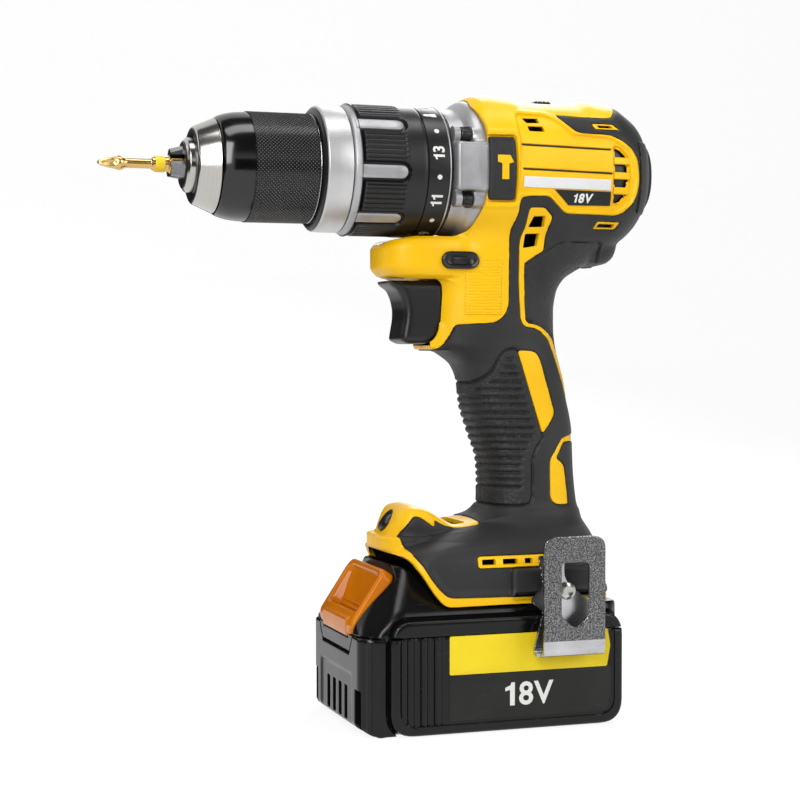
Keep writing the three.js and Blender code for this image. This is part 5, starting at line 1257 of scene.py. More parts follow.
def collar_radius(x, r, angle):
    """Radius of the collar: moats round the fingers, and five ribs on each pad."""
    zone = (x > -48.5) & (x < -24.5)
    moat = shelf(from_finger(x, angle) - FINGER_HALF - 1.15, 0.7)
    front_gap = shelf(x + 47.6, 0.6)
    across = ((angle - FIRST_FINGER) % FINGER_STEP - FINGER_STEP / 2) * UNROLLED_R
    pad = shelf(np.abs(across) - 4.9, 0.5) * shelf(np.abs(x + 39.0) - 7.9, 0.6)
    ribs = 0.5 - 0.5 * np.cos(2 * np.pi * across / 1.95)
    lowered = 1.7 * np.maximum(moat, front_gap) + 0.62 * pad * ribs ** 1.4
    return r - np.where(zone, lowered, 0)


rows = np.concatenate([[-48.6], np.arange(-48.5, -46.6, 0.25), np.arange(-46.5, -28, 0.36),
                       np.arange(-27.9, -24, 0.6)])
outer = [(-62.4, 18.6), (-62.4, 21.2), (-62.1, 22.1), (-61.4, 22.9), (-61.2, 22.9), (-61.1, 21.6),
         (-49, 21.6), (-48.8, 22.6)]
back = [(-23.9, 25.0), (-23.5, 24.9), (-23.3, 24.2), (-22.9, 24.2), (-22.7, 24.7), (-22.2, 24.8),
        (-14.6, 24.7), (-14.4, 24.4), (-13.3, 24.4), (-13.1, 24.1), (-13.1, 21.9), (-56, 21.0),
        (-58, 18.6)]
profile = outer + [(x, COLLAR_R) for x in rows] + back
lathed("torque_collar", profile, 480, BLACK, "collar", ["torque_collar"], 40,
       collar_radius)
print("collar:", FINGERS, "pads,", len(rows), "rows of points along them")

# %% [markdown]
# The satin ring is turned; its fingers are flat outlines, layered to a thickness and then rolled
# round the axis, which turns one direction of the outline into an angle.


# %% Satin ring, fingers and dial marks
def rolled(points, radius):
    """Rolls (along x, across, height) round the axis: across becomes an angle at this radius."""
    x, across, height = points.T
    r, angle = radius + height, across / radius
    return np.stack([x, -r * np.cos(angle), AXIS + r * np.sin(angle)], 1)


band = fillet([(-61.2, 21.8), (-61.2, 23.2), (-60.7, 23.6), (-56.6, 23.75), (-51.7, 23.75),
               (-51.4, 23.4), (-51.3, 21.8)], 0.15)
lathed("trim_band", band, 192, SATIN, "collar", ["trim_ring"], 30)
hub = fillet([(-51.2, 21.8), (-51.1, 23.5), (-50.6, 24.0), (-48.6, 24.55), (-48.4, 24.3),
              (-48.4, 22.4)], 0.2)
points, faces, _ = turned(hub, 192, closed=True)
parts = [(points, outward(points, faces))]
end = np.linspace(-np.pi / 2, np.pi / 2, 11)
along = np.concatenate([[-49.6], np.linspace(-48, -34, 24)])
edge = np.stack([along, np.full(25, -FINGER_HALF)], 1)  # one straight side of a finger
tip = np.stack([FINGER_TO + FINGER_HALF * np.cos(end), FINGER_HALF * np.sin(end)], 1)
outline = np.concatenate([edge, tip, edge[::-1] * [1, -1]])
for number in range(FINGERS):
    flat, faces = layered(outline, [(0, -1.9), (0, -0.5), (0.12, -0.15), (0.45, 0)], 3)
    flat[:, 1] += (FIRST_FINGER + number * FINGER_STEP) * FINGER_R
    parts.append((rolled(flat, FINGER_R), faces))
points, faces = combined(*parts)
piece("trim_fingers", points, faces, CAST, "collar", sharp=30)
rim = fillet([(-14.5, 22), (-14.45, 24.75), (-14.2, 24.95), (-13.9, 24.75), (-13.85, 22)], 0.12, 3)
lathed("dial_rim", rim, 160, SATIN, "collar")
print("fingers:", FINGERS)

# %% [markdown]
# ## Lettering
# Words are set as flat shapes and laid on the part like paint, three hundredths of a millimetre
# above it. The figure one is drawn from listed points, with a flag and without a foot.


# %% Lettering
def lettering(words, size, boldness):
    """Text as a flat mesh: points (right, up) in mm round its middle, and its triangles."""
    curve = bpy.data.curves.new("lettering", "FONT")
    curve.body, curve.size, curve.offset = words, size, boldness
    curve.align_x, curve.align_y = "CENTER", "CENTER"
    curve.fill_mode, curve.resolution_u = "FRONT", 3
    thing = bpy.data.objects.new("lettering", curve)
    mesh = bpy.data.meshes.new_from_object(thing)
    points = np.array([v.co[:2] for v in mesh.vertices])
    mesh.calc_loop_triangles()
    faces = np.array([t.vertices[:] for t in mesh.loop_triangles])
    middle = (points.min(0) + points.max(0)) / 2
    bpy.data.objects.remove(thing)
    return points - middle, faces


ONE = np.array([(0.19, 0), (0.35, 0), (0.35, 0.72), (0.235, 0.72), (0.20, 0.63), (0.03, 0.56),
                (0.03, 0.45), (0.19, 0.49)])
ONE_FACES = np.array([(0, 1, 2), (0, 2, 7), (7, 2, 3), (7, 3, 4), (7, 4, 5), (7, 5, 6)])


def written(words, size, boldness):
    """A line of bold signs set side by side, with a figure one that has a flag."""
    parts, at = [], 0.0
    for sign in words:
        if sign == "1":
            flat, faces = ONE * size - [0, 0.36 * size], ONE_FACES
        else:
            flat, faces = lettering(sign, size, boldness)
        flat = flat - [flat[:, 0].min() - at, 0]
        at = flat[:, 0].max() + (0.14 if sign == "1" else 0.02) * size
        parts.append((flat, faces))
    points, faces = combined(*parts)
    return points - [(points[:, 0].min() + points[:, 0].max()) / 2, 0], faces[0]


# %% Dial marks
DIAL_X, DIAL_R = -18.9, 24.86
DIAL_STEP, DIAL_ZERO = np.radians(21), np.radians(12)  # angle between marks, and of mark thirteen
dot = np.linspace(0, 2 * np.pi, 16, endpoint=False)
dot = np.concatenate([np.stack([np.cos(dot), np.sin(dot)], 1) * 0.95, [[0, 0]]]) - [0, 0.3]
marks = []


def dialled(along, across, place, faces):
    """One mark on the dial: flat points rolled round it at the place's angle."""
    sheet = np.stack([DIAL_X - along, across + (DIAL_ZERO + place * DIAL_STEP) * DIAL_R, 0 * along], 1)
    marks.append((rolled(sheet, DIAL_R), faces))


for number in range(1, 15):
    flat, faces = written(str(number), 6.2, 0.16) if number % 2 else (dot, fan(0, 16, 16))
    dialled(flat[:, 1], flat[:, 0] * (0.95 if number % 2 else 1), number - 13, faces)
drill_sign = np.array([(-2.6, -1.4), (-0.4, -1.4), (0.2, -0.9), (2.8, -0.9), (3.6, 0), (2.8, 0.9),
                       (0.2, 0.9), (-0.4, 1.4), (-2.6, 1.4)])
hammer_sign = np.array([(-2.8, -0.7), (-2.8, 0.7), (0.8, 0.7), (0.8, 2.4), (2.6, 1.2), (2.6, -2.2),
                        (0.8, -2.2), (0.8, -0.7)])
for sign, place in ((drill_sign, 2), (hammer_sign, 3)):
    flat = np.concatenate([sign * 0.85, [[0, 0]]])
    dialled(flat[:, 0], flat[:, 1], place, fan(0, len(sign), len(sign))[:, ::-1])
points, faces = combined(*marks)
piece("dial_marks", points, faces, INK, "collar")
print("dial marks:", len(marks))

# %% [markdown]
# ## Gearcase
# The gearcase is cast aluminium, left as it comes from the mould: grey, sandy and soft at every
# edge. A turned body, a flange and two pads on the sides are melted together, and the pockets for
# the long screws are cut out afterwards.

# %% Cast gearcase
CASE_FROM, CASE_TO, CASE_BORE = -12.8, 2.6, 17.6
CASE = [  # x, radius
    [CASE_FROM, 22.6], [-12.2, 23.6], [-9, 24.0], [-7.4, 24.4], [-5.2, 26.2], [-3.6, 27.2], [-1, 27.8],
    [CASE_TO, 27.8]]
CASE_PAD = (CASE_FROM, 18, 201.2), (2.4, 27.9, 219.6)  # corners of the flat on each side
CASE_SCREWS = (222.6, 20.6), (198.4, 22.4)  # height and distance to the side of each long screw


def gearcase_field(x, y, z):
    """The casting: a turned body with a flange, side pads and screw bosses, less the pockets."""
    out = np.sqrt(y * y + (z - AXIS) ** 2)
    edge = ease(CASE, x)[0]
    body = both_of((out - edge) * 0.85, np.maximum(CASE_FROM - x, x - CASE_TO), 0.8)
    far = np.abs(y)
    body = join(body, slab(x, far, z, *CASE_PAD, 1.8), 1.2)
    for height, across in CASE_SCREWS:
        boss = np.sqrt((far - across) ** 2 + (z - height) ** 2) - 3.1
        body = join(body, np.maximum(boss, np.maximum(-12.4 - x, x)), 0.8)
        pocket = slab(x, far, z, (-9.9, across - 2.8, height - 3.1), (-5.2, 40, height + 3.1), 0.7)
        body = without(body, pocket, 0.4)
    return np.maximum(body, CASE_BORE - out)


points, quads = contour(gearcase_field, (-13.4, -30, 180), (3.4, 30, 240), 0.5)
piece("gearcase", points, quads, CAST, "tool", ["gearcase"], 35)
head = fillet([(-9.4, 0), (-9.4, 1.9), (-8.6, 2.3), (-5.4, 2.3), (-5.4, 0)], 0.3)
head = np.concatenate([[(-9.0, 0.0), (-9.0, 1.0), (-9.4, 1.2)], head[1:]])  # with a round dimple
points, faces, _ = turned(head, 24)
screws = [(points + [0, way * across, height - AXIS], outward(points, faces))
          for way in (-1, 1) for height, across in CASE_SCREWS]
points, faces = combined(*screws)
piece("case_screws", points, faces, BLACK, "tool")
print("gearcase faces:", len(quads))

# %% [markdown]
# ## Trigger and buttons
# The trigger is a smooth hook for the finger: its side outline has a hollow front and its width
# is rounded over, so the two are intersected softly. The direction button goes through the chin
# and ends in an oval cap on each side, and the speed selector slides on top.

# %% Trigger
TRIGGER = rounded([(-33.2, 168.3), (-32.4, 166.6), (-29.4, 164.6), (-27.8, 161.1), (-27.0, 157.2),
                   (-27.1, 153.4), (-28.1, 147.9), (-28.4, 145.6), (-25.2, 144.1), (-18.6, 144.2),
                   (-15.2, 144.9), (-12.5, 146.7), (-10.9, 149.4), (-10.2, 152.6), (-10.2, 168.3)], 1.3)


def trigger_field(x, y, z):
    """Side outline and width, melted at their edges over 3.4 mm."""
    return both_of(inside(x, z, TRIGGER), np.abs(y) - 9.2, 3.4)


points, quads = contour(trigger_field, (-35, -10.5, 142), (-9.0, 10.5, 170), 0.5)
piece("finger_trigger", points, quads, BLACK, "trigger_body", ["trigger"], 45)


# %% Direction button and speed selector
def pill(low, high, count=9):
    """Outline of a slot with fully round ends between two corners, anticlockwise."""
    (a, b), (c, d) = low, high
    r = (d - b) / 2
    turn = np.linspace(-np.pi / 2, np.pi / 2, count)
    right = np.stack([c - r + r * np.cos(turn), b + r + r * np.sin(turn)], 1)
    left = np.stack([a + r - r * np.cos(turn), b + r - r * np.sin(turn)], 1)
    return np.concatenate([right, left])


CAP_LAYERS = [  # inset, height over the housing
    (0, -4.5), (0, 0.9), (0.15, 1.35), (0.6, 1.6), (1.25, 1.5), (1.7, 1.0), (2.3, 0.85)]
cap, cap_faces = layered(pill((-15.2, 172.5), (-0.7, 179.2)), CAP_LAYERS)
nub_layers = [(0, 0.4), (0, 1.3), (0.3, 1.6), (0.8, 1.7)]
nub, nub_faces = layered(pill((-11.2, 174.3), (-4.4, 177.3)), nub_layers, 2)
cap, nub = wrapped(cap), wrapped(nub)
left, faces = combined((cap, outward(cap, cap_faces)), (nub, outward(nub, nub_faces)))
points, faces = combined((left, faces), (left * [1, -1, 1], [f[:, ::-1] for f in faces]))
piece("direction_caps", points, faces, BLACK, "button_body", ["direction_button"], 35)


def selector_field(x, y, z):
    """A low slider with three ribs across it."""
    rib = 0.35 * bump_in(np.abs((x - 30.8 + 0.9) % 1.8 - 0.9), 0.6) * (np.abs(x - 30.8) < 2.2)
    return slab(x, y, z, (27.0, -6.4, 234), (34.6, 6.4, 238.9), 1.7) + rib


points, quads = contour(selector_field, (26, -9, 233), (36, 9, 240.4), 0.4)
piece("speed_slider", points, quads, BLACK, "selector_body", ["speed_selector"], 40)
print("controls: trigger, direction caps, speed slider")

# %% [markdown]
# Fine ribs under the direction button are moulded into the yellow. They are one wavy sheet on
# the housing whose border dips under the surface, so that it grows out of the yellow.

# %% Fine ribs on the chin
RIBS, RIB_HEIGHT, RIB_ROWS = 19, 0.24, 34
(RIB_FRONT, RIB_LOW), (RIB_BACK, RIB_HIGH) = (-5.7, 154.9), (9.0, 176.7)
RIB_STEP, CAP_CLEARANCE = 171.0, 6.0  # from this height up the ribs start behind the button
x = np.linspace(RIB_FRONT, RIB_BACK, RIB_ROWS)[:, None]
z = np.linspace(RIB_LOW, RIB_HIGH, RIBS * 10 + 1)[None, :]
rib = np.abs(np.sin(np.pi * RIBS * (z - RIB_LOW) / (RIB_HIGH - RIB_LOW))) ** 0.8
start = RIB_FRONT + CAP_CLEARANCE * np.clip(z - RIB_STEP, 0, 1)
border = np.minimum(np.minimum(x - start, RIB_BACK - x), np.minimum(z - RIB_LOW, RIB_HIGH - z))
lift = -0.5 + (0.72 + RIB_HEIGHT * rib) * np.clip(border / 0.8 + 0.2, 0, 1)
points = wrapped(np.stack(np.broadcast_arrays(x, z, lift), -1).reshape(-1, 3))
quads = lattice(RIB_ROWS, RIBS * 10 + 1)
normal = np.cross(points[quads[0, 1]] - points[quads[0, 0]], points[quads[0, 2]] - points[quads[0, 1]])
quads = quads if normal[1] < 0 else quads[:, ::-1]
pair("chin_ribs", points, quads, YELLOW, "tool", sharp=60)
print("ribs on the chin:", RIBS)

# %% [markdown]
# ## Badge, labels and lettering
# Badge and labels are thin flat parts that lie on the rounded housing. Each outline is layered to
# its thickness and then moved onto the housing, point by point, along the width of the body.


# %% Flat parts on the housing
def sampled(outline, step=1.5):
    """The outline with points added so that no side is longer than step."""
    points = np.asarray(outline, float)
    out = []
    for a, b in zip(points, np.roll(points, -1, 0)):
        count = max(1, int(np.ceil(np.linalg.norm(b - a) / step)))
        out.append(a + (b - a) * np.arange(count)[:, None] / count)
    return np.concatenate(out)


def laid_on(name, outline, layers, finish, fill=8, replaces=(), marks=None):
    """A flat part on the left side of the housing, and its twin on the right."""
    flat, faces = layered(sampled(outline), layers, fill)
    points = wrapped(flat)
    marks = {key: np.full(len(points), amount) for key, amount in (marks or {}).items()}
    pair(name, points, outward(points, faces), finish, "tool", replaces, 35, marks)


def block(low, high):
    """Outline of an upright rectangle between two corners."""
    (a, b), (c, d) = low, high
    return [(a, b), (c, b), (c, d), (a, d)]


BADGE_PLATE = rounded([(-0.4, 221.5), (9.5, 221.5), (9.9, 210), (9.6, 198.0), (0.1, 198.0),
                       (-0.5, 199.6)], 1.0)
BADGE_LAYERS = [  # inset, height over the housing: a raised rim round a flat field
    (0, -1.6), (0, -0.15), (0.12, 0.15), (0.4, 0.35), (0.8, 0.35), (1.1, 0.1), (1.4, 0.05)]
HAMMER = [(2.4, 214.6), (2.4, 211.9), (4.1, 211.9), (4.1, 205.6), (6.8, 205.6), (6.8, 211.9),
          (8.7, 211.9), (7.3, 214.6)]
WHITE_LABEL = [(13.2, 207), (48.8, 206.7), (49, 202.6), (13.2, 203)]
VOLTAGE_LABEL = [(25.8, 202.4), (49.1, 202.1), (49.2, 196.9), (32.1, 196.7)]
laid_on("badge", BADGE_PLATE, BADGE_LAYERS, RUBBER, 8, ["badge_left", "badge_right"],
        {"stipple": 0.6})
laid_on("hammer_sign", HAMMER, [(0, -0.3), (0, 0.25), (0.12, 0.35)], YELLOW, 3)
laid_on("white_label", WHITE_LABEL, [(0, -1.2), (0, -0.42), (0.08, -0.38)], LABEL_WHITE)
laid_on("voltage_label", VOLTAGE_LABEL, [(0, -1.2), (0, -0.44), (0.08, -0.4)], LABEL_BLACK)

for number, ((a, b), (c, d)) in enumerate(LONG_GROOVES, 1):  # a dark strip lies in each groove
    laid_on("dark_line_%d" % number, [(a, b - 0.28), (c, d - 0.28), (c, d + 0.28), (a, b + 0.28)],
            [(0, -2.0), (0, -1.0), (0.05, -0.96)], LABEL_BLACK, 2)
for number, z in enumerate((214.05, 208.4, 202.7), 1):
    laid_on("vent_bar_%d" % number, block((50.4, z - 1.3), (57.4, z + 1.3)),
            [(0, -2.6), (0, -1.1), (0.3, -0.8)], YELLOW, 4)
# A dark plate under the vent bars is painted shade for the inside behind them.
laid_on("rear_shade_plate", block((49.6, 196.4), (57.4, 220.4)), [(0, -4.4), (0, -3.4)], BLACK)

flat, faces = written("18V", 4.6, 0.17)
slanted = flat[:, 0] + 0.15 * flat[:, 1]
for way, hand in ((1, "left"), (-1, "right")):
    sheet = np.stack([37.6 + way * slanted, 199.4 + flat[:, 1], np.full(len(flat), -0.34)], 1)
    piece("voltage_mark_" + hand, wrapped(sheet) * [1, way, 1], faces, INK, "tool")

# %% [markdown]
# ## Battery pack
# The pack is a black box with cut corners, a raised frame on each side and a cover whose front
# slopes up to the foot. Flat faces with round edges suit a field that is the largest of several
# plane distances, melted where two planes meet.

# %% Case with its side frames
FRAME = rounded([(-41.6, 0.5), (51.0, 0.5), (51.0, 42.8), (-41.6, 42.8)], 9, 9)
INNER = rounded([(-38.2, 4.0), (47.6, 4.0), (47.6, 39.6), (-38.2, 39.6)], 6, 7)
frame_edge = side_map(lambda x, z: inside(x, z, FRAME), (-56, -2), (56, 64))
panel_edge = side_map(lambda x, z: inside(x, z, INNER), (-56, -2), (56, 64))
JOINT_Z, JOINT_GAP = 36.4, 0.3  # height of the joint, and the gap the cover leaves over it
PACK_FRONT, PACK_BACK = -51.9, 51.6
CASE_HALF, COVER_HALF, FRAME_HALF, PANEL_HALF = 33.8, 34.6, 36.9, 36.1  # half widths


def joint(x, far):
    """Height of the joint between case and cover: it dips under the latch."""
    return JOINT_Z - 7.0 * np.clip((21.5 - far) / 4, 0, 1) * np.clip((-44 - x) / 3, 0, 1)


def pack_plan(x, y, half):
    """The pack from above: straight sides, cut front corners and small rear corners."""
    far = np.abs(y)
    sides = both_of(far - half, np.maximum(PACK_FRONT - x, x - PACK_BACK), 1.6)
    sides = both_of(sides, ((PACK_FRONT - x) * 10.5 + (far - 28.6) * 9.8) / 14.36, 1.2)
    return both_of(sides, ((x - PACK_BACK) * 5 + (far - half + 5) * 5) / 7.07, 2.0)


def framed(box, x, far, z, beyond, flutes=0.0):
    """Adds a side frame to the box, with a groove round it and a panel sunk inside it.

    Beyond is positive where the frame belongs to the other half of the pack.
    """
    edge = frame_edge(x, z)
    frame_part = np.maximum(both_of(np.maximum(edge, beyond), far - FRAME_HALF, 1.5), 30 - far)
    box = join(box + 0.9 * bump_in(edge - 0.7, 0.8) * (far > 30), frame_part, 0.2)
    return without(box, both_of(panel_edge(x, z), PANEL_HALF - far - flutes, 0.6), 0.3)


def case_field(x, y, z):
    """The lower case with its frames, fluted panel, front slots and corner channels."""
    far = np.abs(y)
    box = both_of(pack_plan(x, y, CASE_HALF), np.maximum(0.2 - z, z - joint(x, far)), 1.4)
    box = both_of(box, ((-50.5 - x) * 5.5 + (2.4 - z) * 9) / 10.5, 1.6)
    flutes = 0.55 * (0.5 + 0.5 * np.cos(2 * np.pi * (x + 37.6) / 2.65)) ** 2 * ((x > -37.5) & (x < -20.5))
    box = framed(box, x, far, z, z - JOINT_Z, flutes)
    box = without(box, slab(x, y, z, (-60, -20.5, 1.2), (-51.3, 20.5, 22.5), 1.6), 0.5)
    slots = np.min([slab(x, y, z, (-60, at - 1.9, 3.8), (-48.6, at + 1.9, 16.4), 0.8)
                    for at in (-11.4, -3.8, 3.8, 11.4)], axis=0)
    box = without(box, slots, 0.4)
    box = without(box, slab(x, far, z, (-56, 24.2, 1.5), (-48.6, 29.4, 17.0), 0.8), 0.5)
    edges = 0.35 * (0.5 + 0.5 * np.cos(2 * np.pi * far / 1.7)) * np.clip(far - 30.2, 0, 1) * (x < -43)
    return box + edges


points, quads = contour(case_field, (-54, -38, -0.6), (54, 38, 37.6), 0.75)
piece("battery_case", points, quads, SATIN_BLACK, "battery", ["battery_case"], 35)
print("battery case:", len(quads), "faces")


# %% Cover with its sloping front
RAIL_HALF, RAIL_TOP = 22.8, 58.1  # the rail that slides into the foot
ROOF = [  # x, top of the cover: its hump in front of the foot, then the deck under it
    [-60, 61.2], [-32.6, 61.2], [-29.8, 60.0], [-25.2, 53.9], [-21.8, 48.6], [-18, 46.7], [60, 46.4]]


def slope_depth(x, z):
    """Distance above the sloping front, negative inside the cover."""
    return ((PACK_FRONT - x) * 21.2 + (z - 40.0) * 14.0) / 25.4


def cover_field(x, y, z):
    """Cover: sloping front and sides, the frame's upper edge, and the pocket for the latch."""
    far = np.abs(y)
    slope = slope_depth(x, z)
    box = both_of(pack_plan(x, y, COVER_HALF), slope, 2.4)
    box = both_of(box, (far - COVER_HALF + (z - 43.5) * 0.75) / 1.25, 2.4)
    corner = ((PACK_FRONT - x) * 12 + (far - 22.0) * 9.0 + (z - 41) * 12.5) / 19.5
    box = both_of(box, corner, 2.4)
    box = both_of(box, ((x - 51.5) * 8 + (z - 46.0) * 8) / 11.3, 2.0)
    box = both_of(box, np.maximum(joint(x, far) + JOINT_GAP - z, z - ease(ROOF, x)[0]), 1.0)
    box = framed(box, x, far, z, JOINT_Z + JOINT_GAP - z)
    pocket_floor = np.where(far < 16.4, 34.6, 36.5)  # deeper in the middle, for the latch's tongue
    pocket = np.maximum(far - 21.9, np.maximum(-slope - 8.3, pocket_floor - z))
    box = without(box, np.maximum(pocket, x + 35.2), 0.5)
    rail = slab(x, y, z, (-33, -RAIL_HALF, 43), (28.8, RAIL_HALF, RAIL_TOP), 1.2)
    rail = without(rail, slab(x, y, z, (17.6, -17.6, 47.4), (32, 17.6, 57), 0.6), 0.3)
    return join(box, rail, 0.6)


points, quads = contour(cover_field, (-54, -38, 28.6), (54, 38, 62.6), 0.7)
piece("battery_cover", points, quads, SATIN_BLACK, "battery", ["battery_cover"], 35)
print("battery cover:", len(quads), "faces")

# %% [markdown]
# ## Latch
# The amber latch is pushed in with the thumb to free the pack. It follows the slope of the cover,
# has a hollow with two ridges for the thumb, and turns down into a narrow tongue.


# %% Amber latch
def latch_field(x, y, z):
    """A plate on the slope with a wedge-shaped hollow, joined to a tongue at the front."""
    far = np.abs(y)
    above = slope_depth(x, z)
    along = ((x - PACK_FRONT) * 14.0 + (z - 40.0) * 21.2) / 25.4
    edge = both_of(far - 21.3, np.maximum(-3.0 - along, along - 24.2), 4.5)
    plate = both_of(both_of(above - 0.7, -above - 5.0, 0.8), edge, 1.6)
    plate = both_of(plate, -52.5 - x, 1.0)
    tongue = slab(x, y, z, (-52.4, -15.5, 35.2), (-49.2, 15.5, 42), 0.8)
    plate = join(plate, tongue, 1.0)
    depth = ease([[0, 4.0], [5.5, 4.0], [7, 3.8], [20.6, 1.2], [30, 0.5]], along)[0]
    ridges = 0.5 * bump_in(along - 6.6, 0.7) + 0.5 * bump_in(along - 8.6, 0.7)
    ends = np.maximum(5.2 - along, along - 21.4 - 0.4 * above)
    hollow = both_of(far - 16.8 - 0.5 * (above + 1), ends, 3.0)
    return without(plate, np.maximum(hollow, -(above + depth - ridges - 0.2)), 1.3)


points, quads = contour(latch_field, (-54, -22.5, 34), (-34, 22.5, 62.5), 0.5)
piece("thumb_latch", points, quads, AMBER, "latch", ["battery_latch"], 40)
print("latch:", len(quads), "faces")

# %% [markdown]
# The foot is closed over the pack by a floor: a deck beside the rail and a tunnel over it, with
# seven tenths of a millimetre of room or a little more everywhere.

# %% Floor of the foot
FLOOR_ROOM, FLOOR_WALL, DECK_TOP = 0.7, 1.8, 46.5


def floor_field(x, y, z):
    """A plate inside the foot that clears the pack's deck and rail and follows them."""
    far = np.abs(y)
    under = np.where(far < RAIL_HALF + FLOOR_ROOM + 0.1, RAIL_TOP, DECK_TOP) + FLOOR_ROOM
    above = np.where(far < RAIL_HALF + FLOOR_ROOM + 0.1 + FLOOR_WALL, RAIL_TOP, DECK_TOP)
    plate = np.maximum(under - z, z - above - FLOOR_ROOM - FLOOR_WALL)
    return np.maximum(np.maximum(plate, form(x, y, z) + 1.3), np.maximum(-17.4 - x, x - 47))


points, quads = contour(floor_field, (-19, -36, 46.3), (49, 36, 62), 0.6)
piece("foot_floor", points, quads, BLACK, "tool", sharp=35)
print("floor of the foot:", len(quads), "faces")

# %% Labels on the pack
UPPER = rounded([(-18.9, 22.2), (44.6, 22.2), (46.0, 30), (44.9, 36.5), (-18.9, 36.5)], 0.6, 3)
LOWER = rounded([(-18.9, 5.2), (44.5, 5.2), (46.2, 12), (46.2, 21.9), (-18.9, 21.9)], 0.6, 3)
FACE_Y = 36.15  # the labels' place on the panels
for name, outline, finish in (("lemon_label", UPPER, LABEL_YELLOW), ("dark_label", LOWER, LABEL_BLACK)):
    flat, faces = layered(outline, [(0, -0.4), (0, 0.10), (0.1, 0.14)], 2)
    points = np.stack([flat[:, 0], -(FACE_Y + flat[:, 2]), flat[:, 1]], 1)
    pair(name, points, outward(points, faces), finish, "battery")
flat, faces = written("18V", 12.0, 0.24)
for way, hand in ((1, "left"), (-1, "right")):
    points = np.stack([12.8 + way * flat[:, 0], np.full(len(flat), -way * (FACE_Y + 0.19)),
                       13.9 + flat[:, 1]], 1)
    piece("pack_mark_" + hand, points, faces, INK, "battery")
print("labels on the pack: 4")

# %% [markdown]
# ## Belt hook
# The hook is bent from one strip of plated steel: an outer plate with a slot, a tight bend below
# and an inner leg held by a screw. Seen along the drill it is a J, so the sheet is the distance
# from that J, cut to the outlines of the plate and of the leg.

# %% Belt hook and its screw
HOOK_J = [(-46.2, 80), (-46.2, 31.4), (-45.9, 30.2), (-45.1, 29.3), (-43.9, 28.9), (-41.2, 28.9),
          (-40.0, 29.3), (-39.2, 30.2), (-38.9, 31.4), (-38.9, 80)]
HOOK_PLATE = rounded([(14.3, 20), (14.3, 73), (39.0, 73), (39.0, 20)], 5, 7)
HOOK_SLOT = rounded([(21.3, 63.4), (32.5, 63.4), (32.5, 43.4), (26.9, 38.6), (21.3, 43.4)], 2.0, 5)
HOOK_LEG = rounded([(13.1, 20), (13.1, 30), (17.0, 44.1), (11.9, 48.8), (17.0, 53.4), (15.0, 65.4),
                    (25.6, 65.4), (25.6, 57.4), (27.6, 54), (33.4, 49.6), (38.2, 47), (38.2, 20)], 1.2, 4)


def hook_field(x, y, z):
    """Sheet of 1.3 mm round the J, cut to the plate outside and to the leg inside."""
    sheet = near_line(y, z, HOOK_J) - 0.62
    outer = np.maximum(inside(x, z, HOOK_PLATE), -inside(x, z, HOOK_SLOT))
    outline = np.where(y < -42.6, outer, np.maximum(inside(x, z, HOOK_LEG), z - 66))
    return both_of(sheet, outline, 0.35)


points, quads = contour(hook_field, (12.5, -47.6, 27.4), (41, -37.6, 74.6), 0.42)
hook = piece("belt_hook", points, quads, SPANGLED, "tool", ["belt_hook"], 30)
# The bend and the inner leg take the lighter copy of the plating; on the leg this is painted light over its
# shade.
hook.data.materials.append(BEND_AND_PAINTED_LIT_LEG)
middle = points[quads].mean(1)
bend_and_painted_lit_leg = (middle[:, 2] < 34.2) | (middle[:, 1] > -44.2)
hook.data.polygons.foreach_set("material_index", bend_and_painted_lit_leg.astype(np.int32))
SCREW_HEAD = [(-41.3, 2.0), (-40.8, 3.0), (-39.9, 3.4), (-39.5, 3.4)]  # y, radius
points, faces = spun(SCREW_HEAD, 48, (26.5, 0, 52.0), (0, 1, 0), (1, 0, 0), (0, 0, 1), (-40.9, -39.5))
piece("hook_screw", points, faces, STEEL, "tool", ["hook_screw"], 30)
print("hook:", len(quads), "faces")

# %% [markdown]
# ## Rear bumper and lamp
# A rubber bumper closes the rear. The lamp sits in the yellow nose over the battery and looks up
# at the work: a clear lens in a dark ring. Dark plates behind the openings are painted shade.


# %% Rear bumper
def bumper_field(x, y, z):
    """The end cap of the motor housing, with a band round it that stands proud."""
    body = barrel(x, y, z)
    cap = np.maximum(np.maximum(body - 0.1, 61.2 - x), -(body + 3))
    band = both_of(both_of(body - 1.2, 62.2 - x, 0.6), np.abs(z - 208.3) - 13.9, 1.2)
    return join(cap, np.maximum(band, -(body + 2)), 0.6)


points, quads = contour(bumper_field, (60, -34, 180), (75.2, 34, 242), 0.6)
piece("rear_bumper", points, quads, RUBBER, "tool", ["rear_cover"], 35)
print("bumper:", len(quads), "faces")

# %% Lamp
LENS_DOME = [(-1.6, 3.2), (-0.4, 3.2), (-0.1, 2.9), (0.2, 2.0), (0.4, 1.0)]  # along the lamp, radius
BEZEL = [(-1.2, 4.6), (0.2, 4.8), (0.5, 4.6), (0.2, 4.2), (-0.4, 3.2), (-1.3, 3.2)]
LAMP_FRAME = LAMP_AT, LAMP_FACING, (0, 1, 0), np.array([np.sin(LAMP_TILT), 0, np.cos(LAMP_TILT)])
CLEAR, tree, shader, place = started("clear_lens")
swirl = tree.put("TexNoise", {"Vector": place, "Scale": 900.0, "Detail": 1.0}).outputs[0]
tint = tree.mix(swirl, colour(0.03, 0.03, 0.035), colour(0.015, 0.015, 0.02))
tree.join(tint, shader.inputs["Base Color"])
tree.join(tree.ramp(swirl, 0.3, 0.7, 0.05, 0.15), shader.inputs["Roughness"])
shader.inputs["Transmission Weight"].default_value = 0.25
shader.inputs["Specular IOR Level"].default_value = 0.3
points, faces = spun(LENS_DOME, 40, *LAMP_FRAME, (-1.6, 0.45))
piece("lamp_lens", points, faces, CLEAR, "tool", ["lamp_lens"], 30)
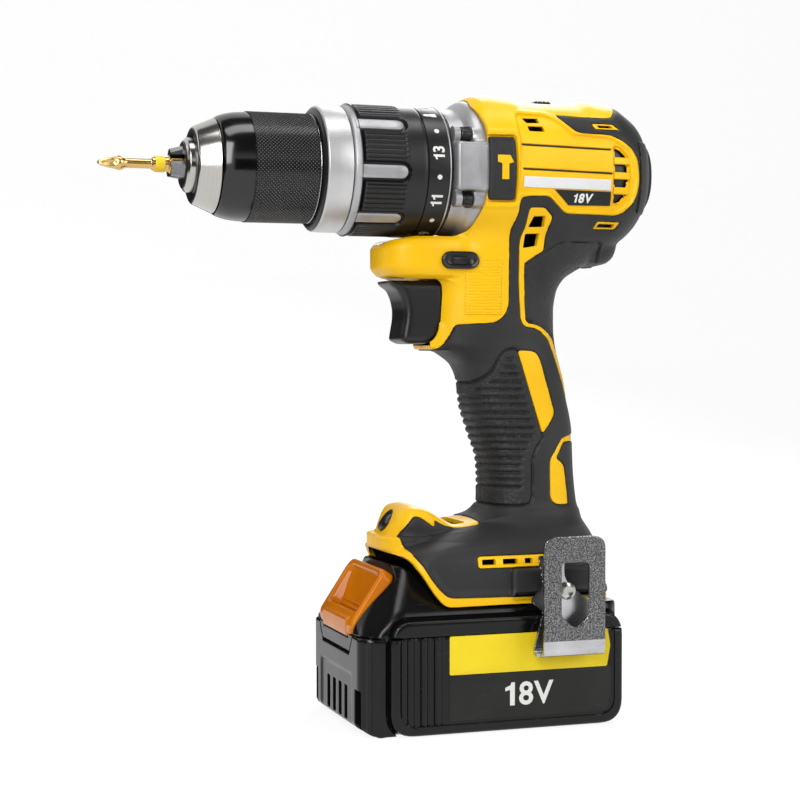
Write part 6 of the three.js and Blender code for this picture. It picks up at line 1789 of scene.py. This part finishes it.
points, faces = spun(BEZEL, 40, *LAMP_FRAME)
piece("lamp_bezel", points, faces, BLACK, "tool")
print("lamp at", LAMP_AT)

# %% Finishes of the parts inside
COPPER = metallic("winding_copper", (0.62, 0.25, 0.08), (0.40, 0.14, 0.04), 0.34, 0.5, 0.05)
WRAP = moulded("cell_wrap", (0.03, 0.16, 0.20), (0.02, 0.11, 0.15), 0.3, 0.6, 0.004, 0.3)
BOARD = moulded("circuit_board", (0.02, 0.14, 0.05), (0.01, 0.08, 0.03), 0.4, 0.9, 0.02, 0.2)
FINISHES = {
    "winding_copper": COPPER, "cell_wrap": WRAP, "circuit_board": BOARD, "housing_yellow": YELLOW,
    "overmould_rubber": RUBBER, "black_plastic": BLACK, "gloss_black": GLOSS_BLACK,
    "amber_plastic": AMBER, "cast_aluminium": CAST, "bright_steel": STEEL, "dark_steel": DARK_STEEL,
    "plated_steel": SATIN, "gold_steel": GOLD, "band_yellow": BAND, "clear_lens": CLEAR}
dressed = 0
for name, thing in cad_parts.items():
    for held in thing.material_slots:
        key = held.material.name.split(".")[0] if held.material else "black_plastic"
        held.material = JAW_STEEL if name.startswith("chuck_jaw") else FINISHES.get(key, BLACK)
        dressed += 1
print("slots dressed on packed solids:", dressed)

# %% Dark plates behind the openings: painted shade for the inside
SHADE_PLATES = [  # two corners of each plate on the right; the left ones are mirrored
    ((10.6, 12.2, 179), (28, 12.9, 196.8)), ((-9, 24.2, 59), (20, 24.8, 67)),
    ((40, 19.5, 186), (56, 20, 192))]
BOX_FACES = np.array([(0, 1, 3, 2), (4, 6, 7, 5), (0, 4, 5, 1), (2, 3, 7, 6), (0, 2, 6, 4), (1, 5, 7, 3)])
parts = []
for low, high in SHADE_PLATES:
    for way in (1, -1):
        xs, ys, zs = zip(low, high)
        corners = np.array([(x, y * way, z) for x in xs for y in ys for z in zs], float)
        parts.append((corners, outward(corners, BOX_FACES)))
points, faces = combined(*parts)
piece("shade_plates", points, faces, BLACK, "tool")
print("dark plates:", len(parts))
